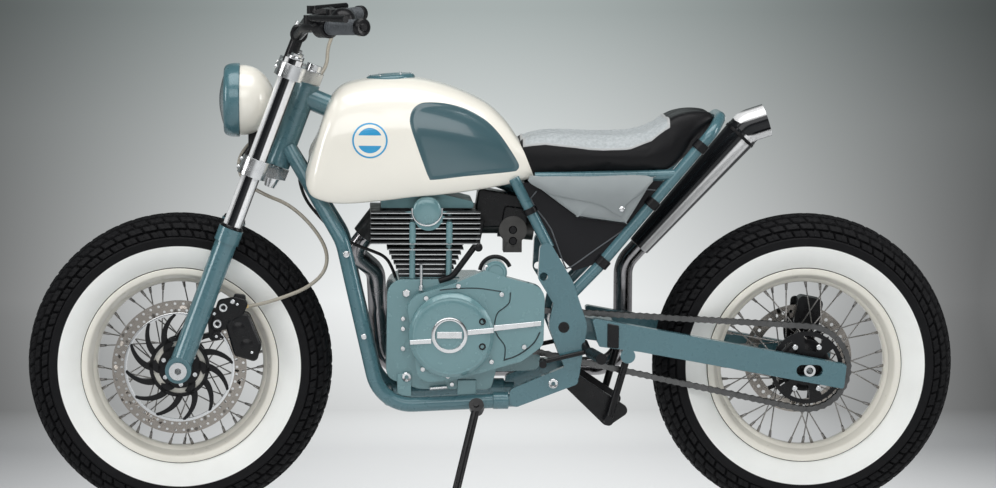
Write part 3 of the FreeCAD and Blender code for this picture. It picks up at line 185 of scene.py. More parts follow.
def bent_line(points, bend, step=math.radians(6)):
    """Centre line of a bent tube: runs joined by arcs of radius bend, each arc a turn of the start radius
    about its own centre, c + R (out cos a - back sin a)."""
    points = [np.asarray(p, float) for p in points]
    line = [points[0]]
    for before, corner, after in zip(points, points[1:], points[2:]):
        back, ahead = unit(before - corner), unit(after - corner)
        half = math.acos(np.clip(back @ ahead, -1, 1)) / 2
        shorter = min(np.linalg.norm(before - corner), np.linalg.norm(after - corner))
        cut = min(bend / math.tan(half), 0.45 * shorter)
        radius = cut * math.tan(half)
        centre = corner + unit(back + ahead) * radius / math.sin(half)
        out = unit(corner + back * cut - centre)
        a = np.linspace(0, math.pi - 2 * half, max(3, round((math.pi - 2 * half) / step)))[:, None]
        line += list(centre + (out * np.cos(a) - back * np.sin(a)) * radius)
    return np.array(line + [points[-1]])


def tube(line, radius, n=28, caps=True):
    """Tube about a line: rings of radius r in the plane square to the mean direction, their first axis
    carried on by removing its share along each new direction."""
    line = np.asarray(line, float)
    step = np.diff(line, axis=0)
    step /= np.linalg.norm(step, axis=1)[:, None]
    ahead = np.concatenate([step[:1], step[:-1] + step[1:], step[-1:]])
    ahead /= np.linalg.norm(ahead, axis=1)[:, None]
    first = side_axes(ahead[0])[0]
    axes = []
    for d in ahead:
        first = unit(first - d * (first @ d))
        axes.append(first)
    a = np.array(axes)
    b = np.cross(ahead, a)
    t = 2 * math.pi * np.arange(n) / n
    r = np.broadcast_to(np.asarray(radius, float), len(line))[:, None, None]
    ring = np.cos(t)[None, :, None] * a[:, None, :] + np.sin(t)[None, :, None] * b[:, None, :]
    return grid(line[:, None, :] + r * ring, wrap_v=True, caps=caps)


def slab(outline, y0, y1, chamfer=0.0):
    """Plate across the bike: a closed outline of (x, z) rows from y0 to y1, its edges drawn in by chamfer
    along the outline's own inward normals."""
    o = np.asarray(outline, float)
    area = 0.5 * np.sum(o[:, 0] * np.roll(o[:, 1], -1) - np.roll(o[:, 0], -1) * o[:, 1])
    side = np.roll(o, -1, 0) - np.roll(o, 1, 0)
    inward = np.stack([-side[:, 1], side[:, 0]], -1) * np.sign(area)
    inward /= np.maximum(np.linalg.norm(inward, axis=1), 1e-9)[:, None]
    c = math.copysign(chamfer, y1 - y0)
    rows = [(y0, chamfer), (y0 + c, 0), (y1 - c, 0), (y1, chamfer)] if chamfer else [(y0, 0), (y1, 0)]
    points = [np.stack([o[:, 0] + inward[:, 0] * k, np.full(len(o), float(y)), o[:, 1] + inward[:, 1] * k],
                       -1) for y, k in rows]
    return grid(np.array(points), wrap_v=True, caps=True)


def rounded(circles, step=math.radians(15)):
    """Outline round circles (x, z, r) given anticlockwise: tangents joined by arcs, and straight corners where
    it turns inwards."""
    n = len(circles)
    normals, lines = [], []
    for i in range(n):
        (x1, z1, r1), (x2, z2, r2) = circles[i], circles[(i + 1) % n]
        normal = math.atan2(z2 - z1,
                            x2 - x1) - math.pi / 2 + math.asin((r1 - r2) / math.hypot(x2 - x1, z2 - z1))
        normals.append(normal)
        u = np.array([math.cos(normal), math.sin(normal)])
        lines.append([np.array([x1, z1]) + r1 * u, np.array([x2, z2]) + r2 * u])
    out = []
    for i in range(n):
        turn = (normals[i] - normals[i - 1]) % (2 * math.pi)
        x, z, r = circles[i]
        if turn > 1.5 * math.pi:
            (a, b), (c, d) = lines[i - 1], lines[i]
            u, v = b - a, d - c
            t = ((c - a)[0] * v[1] - (c - a)[1] * v[0]) / (u[0] * v[1] - u[1] * v[0])
            out.append(a + t * u)
        else:
            t = normals[i - 1] + np.linspace(0, turn, max(2, 1 + round(turn / step)))
            out += list(np.array([x, z]) + r * np.stack([np.cos(t), np.sin(t)], -1))
    return np.array(out)


def mirror(shape):
    """The same shape on the other side of the bike, its faces turned back outwards."""
    v, f = shape
    return v * [1, -1, 1], [a[:, ::-1] for a in f]


def both(*shapes):
    """Each shape and its mirror image."""
    return [s for shape in shapes for s in (shape, mirror(shape))]


def bolt(centre, axis, r, h, n=12):
    """Cap screw: a chamfered head with a round socket, its foot at centre."""
    core = [(0, h * 0.35), (r * 0.5, h * 0.35), (r * 0.55, h)]
    return spun(core + [(r * 0.85, h), (r, h * 0.8), (r, 0), (0, 0)], centre, axis, n)


def nut(centre, axis, r, height):
    """Hexagon nut with a chamfered top."""
    return spun([(0, height), (r * 0.8, height), (r, height * 0.75), (r, 0), (0, 0)], centre, axis, 6)


def copies(shape, turns, centre, axis):
    """Copies turned about an axis through centre by each angle: p' = c + R (p - c)."""
    out = []
    for a in turns:
        m = np.array(Matrix.Rotation(a, 3, Vector(axis)))
        out.append(((shape[0] - centre) @ m.T + centre, shape[1]))
    return out


# Pieces

def points_of(mesh):
    """Vertices of a mesh as rows, in metres."""
    co = np.empty(len(mesh.vertices) * 3)
    mesh.vertices.foreach_get("co", co)
    return co.reshape(-1, 3)


def keep_mask(mesh, name, values):
    """One number on each vertex, for a material to read."""
    layer = mesh.attributes.new(name, "FLOAT", "POINT")
    layer.data.foreach_set("value", np.asarray(values, np.float32))


def piece(name, shapes, finish, body, replaces=(), angle=40, masks=None):
    """Object from shapes: parked, doubles merged, faces turned outwards, edges past angle kept sharp."""
    verts, faces = merged(shapes if isinstance(shapes, list) else [shapes])
    mesh = bpy.data.meshes.new(name)
    mesh.from_pydata(parked(verts).tolist(), [], [f for a in faces for f in a.tolist()])
    bm = bmesh.new()
    bm.from_mesh(mesh)
    bmesh.ops.remove_doubles(bm, verts=bm.verts, dist=2e-6)
    bmesh.ops.recalc_face_normals(bm, faces=bm.faces)
    bm.to_mesh(mesh)
    bm.free()
    return placed(name, mesh, finish, body, replaces, angle, 0.0, masks)


def placed(name, mesh, finish, body, replaces, angle, bevel, masks):
    """Object of a finished mesh: sharp edges past angle, its masks and finish, its edges rounded by bevel
    millimetres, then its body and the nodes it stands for."""
    mesh.shade_smooth()
    mesh.set_sharp_from_angle(angle=math.radians(angle))
    for mask, values in (masks or {}).items():
        keep_mask(mesh, mask, values(upright(points_of(mesh))))
    obj = bpy.data.objects.new(name, mesh)
    bpy.context.scene.collection.objects.link(obj)
    mesh.materials.clear()
    mesh.materials.append(material(finish))
    if bevel:
        mod = obj.modifiers.new("rounded_edges", "BEVEL")
        mod.width = bevel / 1000
        mod.segments = 2
        mod.limit_method = "ANGLE"
        mod.angle_limit = math.radians(angle)
        mod.harden_normals = True
    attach(obj, body)
    if replaces:
        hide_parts(*replaces)
    return obj


def dressed(node, finish, bevel=1.2, angle=30.0, masks=None):
    """Copy of a CAD node with its triangles merged into flat faces and its edges rounded."""
    mesh = NODES[node].data.copy()
    mesh.name = node + "_skin"
    bm = bmesh.new()
    bm.from_mesh(mesh)
    bmesh.ops.remove_doubles(bm, verts=bm.verts, dist=5e-6)
    bmesh.ops.dissolve_limit(bm, angle_limit=math.radians(1.0), verts=bm.verts, edges=bm.edges)
    bm.to_mesh(mesh)
    bm.free()
    return placed(node + "_dress", mesh, finish, BODY_OF[node], [node], angle, bevel, masks)


def paint_node(node, finish):
    """A better material on a CAD node that keeps its shape."""
    obj = NODES[node]
    if obj.material_slots:
        for s in obj.material_slots:
            s.material = material(finish)
    else:
        obj.data.materials.append(material(finish))


# Materials: each is made once, from a colour, a gloss and noise at the grain's own scale

def surface(name, color, metallic=0.0, rough=0.4, coat=0.0, vary=0.06, grain=(400.0, 0.05), wear=0.1,
            sheen=0.0, build=None, specular=0.5):
    """Principled surface whose colour and roughness shift with broad noise, with a fine bump."""
    made = bpy.data.materials.get("look_" + name)
    if made:
        return made
    mat = bpy.data.materials.new("look_" + name)
    mat.use_nodes = True
    nt = mat.node_tree
    bsdf = nt.nodes["Principled BSDF"]
    bsdf.inputs["Metallic"].default_value = metallic
    bsdf.inputs["Coat Weight"].default_value = coat
    bsdf.inputs["Coat Roughness"].default_value = 0.06
    bsdf.inputs["Sheen Weight"].default_value = sheen
    bsdf.inputs["Specular IOR Level"].default_value = specular
    place = nt.nodes.new("ShaderNodeTexCoord").outputs["Object"]
    broad = noise(nt, place, 9.0, 4)
    base = mix(nt, broad, [c * (1 - vary) for c in color], [min(1, c * (1 + vary * 0.6)) for c in color])
    patch = noise(nt, place, 45.0, 5)
    rough_out = ranged(nt, patch, rough * (1 - wear), min(1.0, rough * (1 + wear) + wear * 0.05))
    fine = noise(nt, place, grain[0], 3)
    bump = nt.nodes.new("ShaderNodeBump")
    bump.inputs["Strength"].default_value = grain[1]
    bump.inputs["Distance"].default_value = 0.001
    nt.links.new(fine, bump.inputs["Height"])
    nt.links.new(bump.outputs["Normal"], bsdf.inputs["Normal"])
    if build:
        base = build(nt, place, base)
    nt.links.new(base, bsdf.inputs["Base Color"])
    nt.links.new(rough_out, bsdf.inputs["Roughness"])
    return mat


def noise(nt, place, scale, detail):
    node = nt.nodes.new("ShaderNodeTexNoise")
    node.inputs["Scale"].default_value = scale
    node.inputs["Detail"].default_value = detail
    nt.links.new(place, node.inputs["Vector"])
    return node.outputs["Fac"]


def ranged(nt, value, low, high, start=0.3, end=0.7):
    """Value mapped from start..end on to low..high."""
    node = nt.nodes.new("ShaderNodeMapRange")
    for key, number in (("From Min", start), ("From Max", end), ("To Min", low), ("To Max", high)):
        node.inputs[key].default_value = number
    nt.links.new(value, node.inputs["Value"])
    return node.outputs["Result"]


def maths(nt, operation, first, second):
    node = nt.nodes.new("ShaderNodeMath")
    node.operation = operation
    for key, value in enumerate((first, second)):
        if isinstance(value, float):
            node.inputs[key].default_value = value
        else:
            nt.links.new(value, node.inputs[key])
    return node.outputs[0]


def mix(nt, value, first, second):
    """Blend of two colours, each a list or another node's output, by a value from 0 to 1."""
    node = nt.nodes.new("ShaderNodeMix")
    node.data_type = "RGBA"
    nt.links.new(value, node.inputs[0])
    for key, color in ((6, first), (7, second)):
        if isinstance(color, (list, tuple)):
            node.inputs[key].default_value = (*color, 1)
        else:
            nt.links.new(color, node.inputs[key])
    return node.outputs[2]


def mask_of(nt, name):
    """Smooth edge of a signed distance kept on the vertices, in millimetres: 0 outside, 1 inside."""
    node = nt.nodes.new("ShaderNodeAttribute")
    node.attribute_name = name
    return ranged(nt, node.outputs["Fac"], 0.0, 1.0, -0.35, 0.35)


def white_wall_build(nt, place, base):
    """White side wall between its two edge circles, a little grey in patches of noise."""
    wall = mask_of(nt, "wall")
    dust = ranged(nt, noise(nt, place, 14.0, 5), 0.0, 0.35, 0.45, 0.8)
    white = mix(nt, dust, [0.92, 0.93, 0.90], [0.82, 0.81, 0.77])
    return mix(nt, wall, base, white)


TEAL = [0.074, 0.170, 0.198]
DEEP_TEAL = [0.055, 0.110, 0.128]
CAST_TEAL = [0.145, 0.275, 0.295]
CREAM = [0.90, 0.87, 0.78]
RIM_CREAM = [0.88, 0.85, 0.76]


def tank_build(nt, place, base):
    """Cream tank, deep teal where the knee panel's mask is inside."""
    return mix(nt, mask_of(nt, "knee"), base, DEEP_TEAL)


def badge_build(nt, place, base):
    """Cream enamel with blue where the badge's mask is inside."""
    return mix(nt, mask_of(nt, "blue"), base, [0.03, 0.33, 0.62])


def fin_build(nt, place, base):
    """Black paint, rubbed paler on broad noise peaks, with cast teal where the cover's mask is inside."""
    bare = ranged(nt, noise(nt, place, 55.0, 6), 0.0, 0.35, 0.56, 0.75)
    return mix(nt, mask_of(nt, "cover"), mix(nt, bare, base, [0.10, 0.12, 0.125]), CAST_TEAL)


def painted_reflection_build(nt, place, base):
    """Painted reflection on chrome: near black, and a bright painted highlight where its mask is inside."""
    return mix(nt, mask_of(nt, "painted_reflection"), base, [0.95, 0.95, 0.95])


def seat_build(nt, place, base):
    """Black leather with a silver-white top and a light piping."""
    top = mask_of(nt, "top")
    weave = ranged(nt, noise(nt, place, 160.0, 4), 0.0, 1.0, 0.35, 0.65)
    silver = mix(nt, weave, [0.37, 0.40, 0.41], [0.46, 0.49, 0.50])
    return mix(nt, mask_of(nt, "piping"), mix(nt, top, base, silver), [0.42, 0.43, 0.43])


# Finishes: the values of each surface

FINISHES = {
    "cream": dict(name="cream_gloss", color=CREAM, rough=0.22, coat=0.7, vary=0.015, grain=(300, 0.02)),
    "tank": dict(name="tank_cream", color=CREAM, rough=0.2, coat=0.8, vary=0.015, grain=(300, 0.015),
                 build=tank_build),
    "rim": dict(name="rim_cream", color=RIM_CREAM, rough=0.3, coat=0.4, vary=0.05, grain=(300, 0.03)),
    "teal": dict(name="teal_gloss", color=TEAL, metallic=0.1, rough=0.28, coat=0.6, vary=0.08, grain=(260, 0.04)),
    "cast_teal": dict(name="teal_satin", color=CAST_TEAL, metallic=0.1, rough=0.24, coat=0.7, grain=(420, 0.04),
                      wear=0.2),
    "groove": dict(name="teal_groove", color=[0.012, 0.03, 0.035], rough=0.6, vary=0.1),
    "spoke": dict(name="spoke_steel", color=[0.30, 0.29, 0.28], metallic=1, rough=0.3, vary=0.2,
                  grain=(900, 0.05), wear=0.3),
    "pipe": dict(name="pipe_steel", color=[0.34, 0.33, 0.34], metallic=1, rough=0.2, vary=0.15, grain=(300, 0.03),
                 wear=0.4),
    "rubber": dict(name="tyre_rubber", color=[0.007, 0.007, 0.008], rough=0.62, vary=0.25, grain=(900, 0.25),
                   wear=0.15, build=white_wall_build, specular=0.16),
    "black": dict(name="satin_black", color=[0.006, 0.006, 0.007], rough=0.3, vary=0.2, grain=(500, 0.06),
                  wear=0.25, specular=0.28),
    "fin_black": dict(name="fin_black", color=[0.02, 0.021, 0.022], metallic=0.3, rough=0.42, vary=0.3,
                      grain=(300, 0.12), wear=0.3, build=fin_build),
    # Chrome of the fork tubes and megaphone drawn as painted reflection: a dark base and painted highlight
    # stripes
    "megaphone": dict(name="chrome_painted_reflection", color=[0.012, 0.013, 0.015], metallic=0.25, rough=0.13,
                      vary=0.1, grain=(300, 0.01), build=painted_reflection_build),
    "disc": dict(name="disc_steel", color=[0.36, 0.33, 0.30], metallic=1, rough=0.26, vary=0.25,
                 grain=(1500, 0.12), wear=0.35),
    "cable": dict(name="cable_black", color=[0.010, 0.010, 0.011], vary=0.2, grain=(800, 0.08), wear=0.2,
                  specular=0.25),
    "silver": dict(name="machined_silver", color=[0.72, 0.73, 0.74], metallic=1, rough=0.22, vary=0.08,
                   grain=(900, 0.05), wear=0.3),
    "dark_metal": dict(name="dark_metal", color=[0.09, 0.088, 0.085], metallic=0.9, vary=0.25, grain=(500, 0.12),
                       wear=0.3),
    "chain": dict(name="oiled_chain", color=[0.13, 0.13, 0.13], metallic=1, rough=0.3, vary=0.4,
                  grain=(700, 0.1), wear=0.3),
    "grip": dict(name="grip_rubber", color=[0.10, 0.11, 0.12], metallic=0.3, vary=0.15, grain=(1500, 0.1),
                 wear=0.2),
    "hose": dict(name="hose_sleeve", color=[0.36, 0.33, 0.27], rough=0.35, coat=0.3, vary=0.15, grain=(800, 0.1),
                 wear=0.2),
    "panel": dict(name="panel_black", color=[0.012, 0.012, 0.014], rough=0.42, vary=0.2, grain=(1800, 0.25),
                  specular=0.2),
    "seat": dict(name="seat_leather", color=[0.008, 0.008, 0.009], vary=0.2, grain=(700, 0.25), wear=0.15,
                 build=seat_build, specular=0.18),
    "bag": dict(name="bag_leather", color=[0.29, 0.32, 0.325], rough=0.6, vary=0.2, grain=(900, 0.35),
                sheen=0.15),
    "glass": dict(name="lamp_glass", color=[0.13, 0.21, 0.235], metallic=0.3, rough=0.1, coat=1.0,
                  vary=0.02, grain=(60, 0.05)),
    "brass": dict(name="brass_fitting", color=[0.62, 0.46, 0.22], metallic=1, rough=0.3, vary=0.1,
                  grain=(600, 0.05), wear=0.2),
    "badge": dict(name="badge_enamel", color=CREAM, rough=0.2, coat=0.8, vary=0.015, grain=(300, 0.01),
                  build=badge_build),
}


def material(finish):
    return surface(**FINISHES[finish])


def skinned(rings, loop, shrink=0.0):
    """Points of sections (x top, z top, x low, z low, half width) at loop rows (side, up), in from the top and
    the sides by shrink: x, z = low + (top - low) up and y = half width times side."""
    x = rings[:, None, 2] + (rings[:, None, 0] - rings[:, None, 2]) * loop[None, :, 1]
    z = rings[:, None, 3] + (rings[:, None, 1] - rings[:, None, 3] - shrink) * loop[None, :, 1]
    return np.stack([x, (rings[:, None, 4] - shrink) * loop[None, :, 0], z], -1)


def polygon_distance(points, outline):
    """Signed distance of (x, z) rows to a closed outline, positive inside: the least distance to any edge,
    and the sign by how many edges a ray crosses."""
    p = points[:, None, :]
    a = np.asarray(outline, float)[None]
    b = np.roll(a, -1, 1)
    e, w = b - a, p - a
    t = np.clip((w * e).sum(-1) / (e * e).sum(-1), 0, 1)
    d = np.sqrt(((w - e * t[..., None]) ** 2).sum(-1)).min(1)
    cross = ((a[..., 1] > p[..., 1]) != (b[..., 1] > p[..., 1])) & (
        p[..., 0] < e[..., 0] * (p[..., 1] - a[..., 1]) / np.where(e[..., 1] == 0, 1e-9, e[..., 1]) + a[..., 0])
    return np.where(cross.sum(1) % 2, d, -d)


def step_up(x, low, high):
    """Smooth step 3t^2 - 2t^3 from low to high."""
    t = np.clip((x - low) / (high - low), 0, 1)
    return t * t * (3 - 2 * t)


# Settings

class StageSettings(PropertyGroup):
    floor_shade: FloatProperty(name="Floor shade", description="How pale the floor is", default=0.80,
                               min=0, max=1)
    key_power: FloatProperty(name="Key light", description="Power of the large soft light", default=98.0,
                             subtype="POWER")


class WheelSettings(PropertyGroup):
    tread_depth: FloatProperty(name="Tread depth", description="Depth of the tread grooves in millimetres",
                               default=6.0, min=0, max=10)
    blocks: IntProperty(name="Blocks round", description="Tread blocks round the tyre", default=60, min=12)
    wall_inner: FloatProperty(name="White wall inner",
                              description="Inner radius of the white wall in millimetres", default=214.0)
    wall_outer: FloatProperty(name="White wall outer",
                              description="Outer radius of the white wall in millimetres", default=262.0)
    spokes: IntProperty(name="Spokes", description="Spokes in each wheel", default=36, min=4)


class SeatSettings(PropertyGroup):
    quilt_pitch: FloatProperty(name="Quilt pitch", description="Size of a quilted diamond in millimetres",
                               default=22.0, min=5)
    quilt_depth: FloatProperty(name="Quilt depth", description="Depth of the sewn channels in millimetres",
                               default=1.6, min=0)


# Stage: the camera is the one fitted to the photo's wheels, in metres and degrees

CAMERA_LENS = 119.005
CAMERA_PLACE = (-0.3221, -7.1137, 0.4691)
CAMERA_YAW = 2.655
CAMERA_PITCH = 0.942
FLOOR_REACH = 14.0


class MOTO_OT_stage(Operator):
    """Camera of the photo's view, floor, backdrop and soft studio light."""
    bl_idname = "moto.stage"
    bl_label = "Camera and stage"

    def execute(self, context):
        s = context.scene.moto_stage
        cam_data = bpy.data.cameras.new("photo_camera")
        cam = bpy.data.objects.new("photo_camera", cam_data)
        context.scene.collection.objects.link(cam)
        cam_data.lens = CAMERA_LENS
        cam_data.sensor_width = 36
        cam_data.clip_end = 100
        cam.location = CAMERA_PLACE
        yaw, pitch = math.radians(CAMERA_YAW), math.radians(CAMERA_PITCH)
        look = Vector((math.sin(yaw) * math.cos(pitch), math.cos(yaw) * math.cos(pitch), math.sin(pitch)))
        cam.rotation_euler = look.to_track_quat("-Z", "Y").to_euler()
        context.scene.camera = cam

        # Floor that sweeps up into the backdrop: flat, then a quarter circle, then upright
        a = np.linspace(0, math.pi / 2, 24)
        radius, depth, height = 1.6, 3.2, 7.0
        ys = np.concatenate([[-FLOOR_REACH], depth + radius * np.sin(a), [depth + radius]])
        zs = np.concatenate([[0.0], radius * (1 - np.cos(a)), [height]])
        xs = np.array([-FLOOR_REACH, FLOOR_REACH])
        points = np.stack(np.broadcast_arrays(xs[None, :], ys[:, None], zs[:, None]), -1)
        mesh = bpy.data.meshes.new("studio_floor")
        verts, faces = grid(points)
        mesh.from_pydata(verts.tolist(), [], faces[0][:, ::-1].tolist())
        mesh.shade_smooth()
        floor = bpy.data.objects.new("studio_floor", mesh)
        context.scene.collection.objects.link(floor)
        mesh.materials.append(self.floor_material(s.floor_shade))

        for name, place, target, size, power in (
                ("top_box", (0.0, -1.2, 3.6), (0, 0, 0.5), (4.2, 2.4), s.key_power),
                ("side_box", (-0.8, -5.2, 2.6), (0, 0, 0.6), (6.0, 2.4), s.key_power * 0.95),
                ("front_strip", (-4.2, -1.6, 1.8), (0, 0, 0.6), (1.0, 2.4), s.key_power * 0.5),
                ("rear_strip", (4.2, -1.2, 1.8), (0, 0, 0.6), (1.0, 2.4), s.key_power * 0.5)):
            data = bpy.data.lights.new(name, "AREA")
            data.shape = "RECTANGLE"
            data.size, data.size_y = size
            data.energy = power
            lamp = bpy.data.objects.new(name, data)
            lamp.visible_camera = False
            lamp.location = place
            lamp.rotation_euler = (Vector(target) - Vector(place)).to_track_quat("-Z", "Y").to_euler()
            context.scene.collection.objects.link(lamp)

        world = bpy.data.worlds.new("studio")
        context.scene.world = world
        world.use_nodes = True
        nt = world.node_tree
        sky = nt.nodes["Background"].inputs
        sky["Color"].default_value = (0.9, 0.93, 0.95, 1)
        rays = nt.nodes.new("ShaderNodeLightPath").outputs
        share = ranged(nt, rays["Is Glossy Ray"], 0.17, 0.05, 0.0, 1.0)
        share = maths(nt, "MAXIMUM", share, maths(nt, "MULTIPLY", rays["Is Camera Ray"], 0.6))
        nt.links.new(share, sky["Strength"])
        context.scene.view_settings.view_transform = "Standard"
        return {"FINISHED"}

    def floor_material(self, shade):
        """Pale matt floor that keeps shadows, darker to both sides as a painted pool of light; the wall behind
        glows with painted light for the camera and for reflections, darker with height and to both sides, and
        isn't there when seen from its back."""
        mat = bpy.data.materials.new("studio_floor")
        mat.use_nodes = True
        nt = mat.node_tree
        bsdf = nt.nodes["Principled BSDF"]
        bsdf.inputs["Roughness"].default_value = 0.8
        bsdf.inputs["Specular IOR Level"].default_value = 0.1
        place = nt.nodes.new("ShaderNodeTexCoord").outputs["Object"]
        split = nt.nodes.new("ShaderNodeSeparateXYZ")
        nt.links.new(place, split.inputs[0])
        height = split.outputs["Z"]
        offset = maths(nt, "SUBTRACT", split.outputs["X"], 0.13)
        square = maths(nt, "MULTIPLY", offset, offset)
        steep = ranged(nt, height, -0.046, 0.0, 0.4, 1.1)
        power = maths(nt, "MULTIPLY", square, maths(nt, "ADD", maths(nt, "MULTIPLY", square, steep), -0.45))
        # Painted pool of light: a factor that falls from one in the middle towards both sides, more steeply low
        # down
        light_pool = maths(nt, "MAXIMUM", maths(nt, "EXPONENT", power, 0.0),
                     ranged(nt, square, 0.165, 0.5, 4.0, 12.0))
        # Painted light on the wall: paler low down, darker with height
        wall_light = mix(nt, ranged(nt, height, 0.0, 1.0, 0.46, 1.51), [0.93, 0.95, 0.95], [0.39, 0.435, 0.43])
        wall = mix(nt, light_pool, [0.0, 0.0, 0.0], wall_light)
        # Painted pool of light on the floor: its colour darker towards both sides
        ground = mix(nt, light_pool, [shade * 0.55, shade * 0.57, shade * 0.6], [shade, shade * 1.01, shade * 1.02])
        grain = ranged(nt, noise(nt, place, 3.0, 3), 0.0, 0.05)
        nt.links.new(mix(nt, grain, ground, [0.6, 0.6, 0.6]), bsdf.inputs["Base Color"])
        # The wall glows with this painted light for camera, glossy and transmission rays
        glow = nt.nodes.new("ShaderNodeEmission")
        nt.links.new(wall, glow.inputs["Color"])
        # Painted light: the glow's strength also follows height near the floor
        foot = ranged(nt, height, 0.74, 1.0, 0.1, 0.46)
        lift = ranged(nt, height, 1.6, 1.0, 0.0, 0.1)
        nt.links.new(maths(nt, "MULTIPLY", foot, lift), glow.inputs["Strength"])
        rays = nt.nodes.new("ShaderNodeLightPath").outputs
        seen = maths(nt, "MAXIMUM", maths(nt, "MAXIMUM", rays["Is Camera Ray"], rays["Is Glossy Ray"]),
                     rays["Is Transmission Ray"])
        # The floor also glows for the camera at half share: painted light over its lit colour
        share = maths(nt, "MULTIPLY", seen, ranged(nt, height, 0.5, 1.0, 0.0, 0.1))
        blend = nt.nodes.new("ShaderNodeMixShader")
        nt.links.new(share, blend.inputs[0])
        nt.links.new(bsdf.outputs[0], blend.inputs[1])
        nt.links.new(glow.outputs[0], blend.inputs[2])
        one_sided = nt.nodes.new("ShaderNodeMixShader")
        nt.links.new(nt.nodes.new("ShaderNodeNewGeometry").outputs["Backfacing"], one_sided.inputs[0])
        nt.links.new(blend.outputs[0], one_sided.inputs[1])
        nt.links.new(nt.nodes.new("ShaderNodeBsdfTransparent").outputs[0], one_sided.inputs[2])
        nt.links.new(one_sided.outputs[0], nt.nodes["Material Output"].inputs["Surface"])
        return mat


# Wheels

TYRE_R = 330.0
ROW_WIDTH = 19.0


def tyre_surface(centre, settings, radius=TYRE_R):
    """Tyre skin: P(t, s) = centre + (r cos t, y, r sin t), with angle t round the axle and (r, y) at distance s
    along a smooth cross-section; the tread falls along its normal by the groove depth between staggered
    slanted blocks."""
    side = [(radius, 0), (radius - 3.5, 22), (radius - 13, 41), (radius - 30, 55), (radius - 52, 61.5),
            (radius - 75, 60), (radius - 98, 53), (radius - 114, 43), (radius - 124.4, 34)]
    half = smooth_line(side, 9)
    full = np.concatenate([half[::-1] * [1, -1], half[1:]])
    run = np.concatenate([[0], np.cumsum(np.linalg.norm(np.diff(full, axis=0), axis=1))])
    run -= run[-1] / 2
    rest = np.linspace(90.0, run[-1], 12)[1:]
    s = np.concatenate([-rest[::-1], np.linspace(-90.0, 90.0, 90), rest])
    r, y = np.interp(s, run, full[:, 0]), np.interp(s, run, full[:, 1])
    slope = np.stack([np.gradient(r, s), np.gradient(y, s)], -1)
    normal = np.stack([slope[:, 1], -slope[:, 0]], -1)
    normal /= np.linalg.norm(normal, axis=1)[:, None]
    n = settings.blocks * 14
    t = 2 * math.pi * np.arange(n) / n
    u = t[:, None] * settings.blocks / (2 * math.pi)
    row = np.floor((s + ROW_WIDTH / 2) / ROW_WIDTH)[None, :]
    inside = (s[None, :] + ROW_WIDTH / 2) / ROW_WIDTH - row
    along = u + 0.5 * (np.abs(row) % 2) + 0.28 * (inside - 0.5) * np.sign(s)[None, :]
    cell = along - np.floor(along)
    edge_u = np.minimum(cell, 1 - cell) * 2 * math.pi * radius / settings.blocks
    edge_s = np.minimum(inside, 1 - inside) * ROW_WIDTH
    block = step_up(edge_u, 1.0, 3.6) * step_up(edge_s, 0.9, 2.8)
    sipe = 1 - 0.35 * (1 - step_up(np.abs(cell - 0.5) * 2 * math.pi * radius / settings.blocks, 0.3, 1.3))
    tread = step_up(86.0 - np.abs(s), 0, 3)[None, :]
    fall = settings.tread_depth * tread * (1 - block * sipe)
    lip = 1.2 * np.exp(-((np.abs(s) - 88) / 2.0) ** 2)[None, :]
    rr = r[None, :] - (fall - lip) * normal[None, :, 0]
    yy = y[None, :] - (fall - lip) * normal[None, :, 1]
    points = np.stack([rr * np.cos(t)[:, None], np.broadcast_to(yy, rr.shape), rr * np.sin(t)[:, None]], -1)
    return grid(points + centre, wrap_u=True, wrap_v=True)


def radius_about(points, centre):
    return np.hypot(points[:, 0] - centre[0], points[:, 2] - centre[2])


class MOTO_OT_tyres(Operator):
    """Both tyres, with block tread and a broad white side wall."""
    bl_idname = "moto.tyres"
    bl_label = "Tyres"

    def execute(self, context):
        s = context.scene.moto_wheel
        middle, half = (s.wall_inner + s.wall_outer) / 2, (s.wall_outer - s.wall_inner) / 2
        for end, centre, body in (("front", FRONT, "front_wheel"), ("rear", REAR, "rear_wheel")):
            piece(f"{end}_tyre_skin", tyre_surface(centre, s), "rubber", body, [f"{end}_tyre"], 50,
                  masks={"wall": lambda p, c=centre: half - np.abs(radius_about(p, c) - middle)})
        return {"FINISHED"}


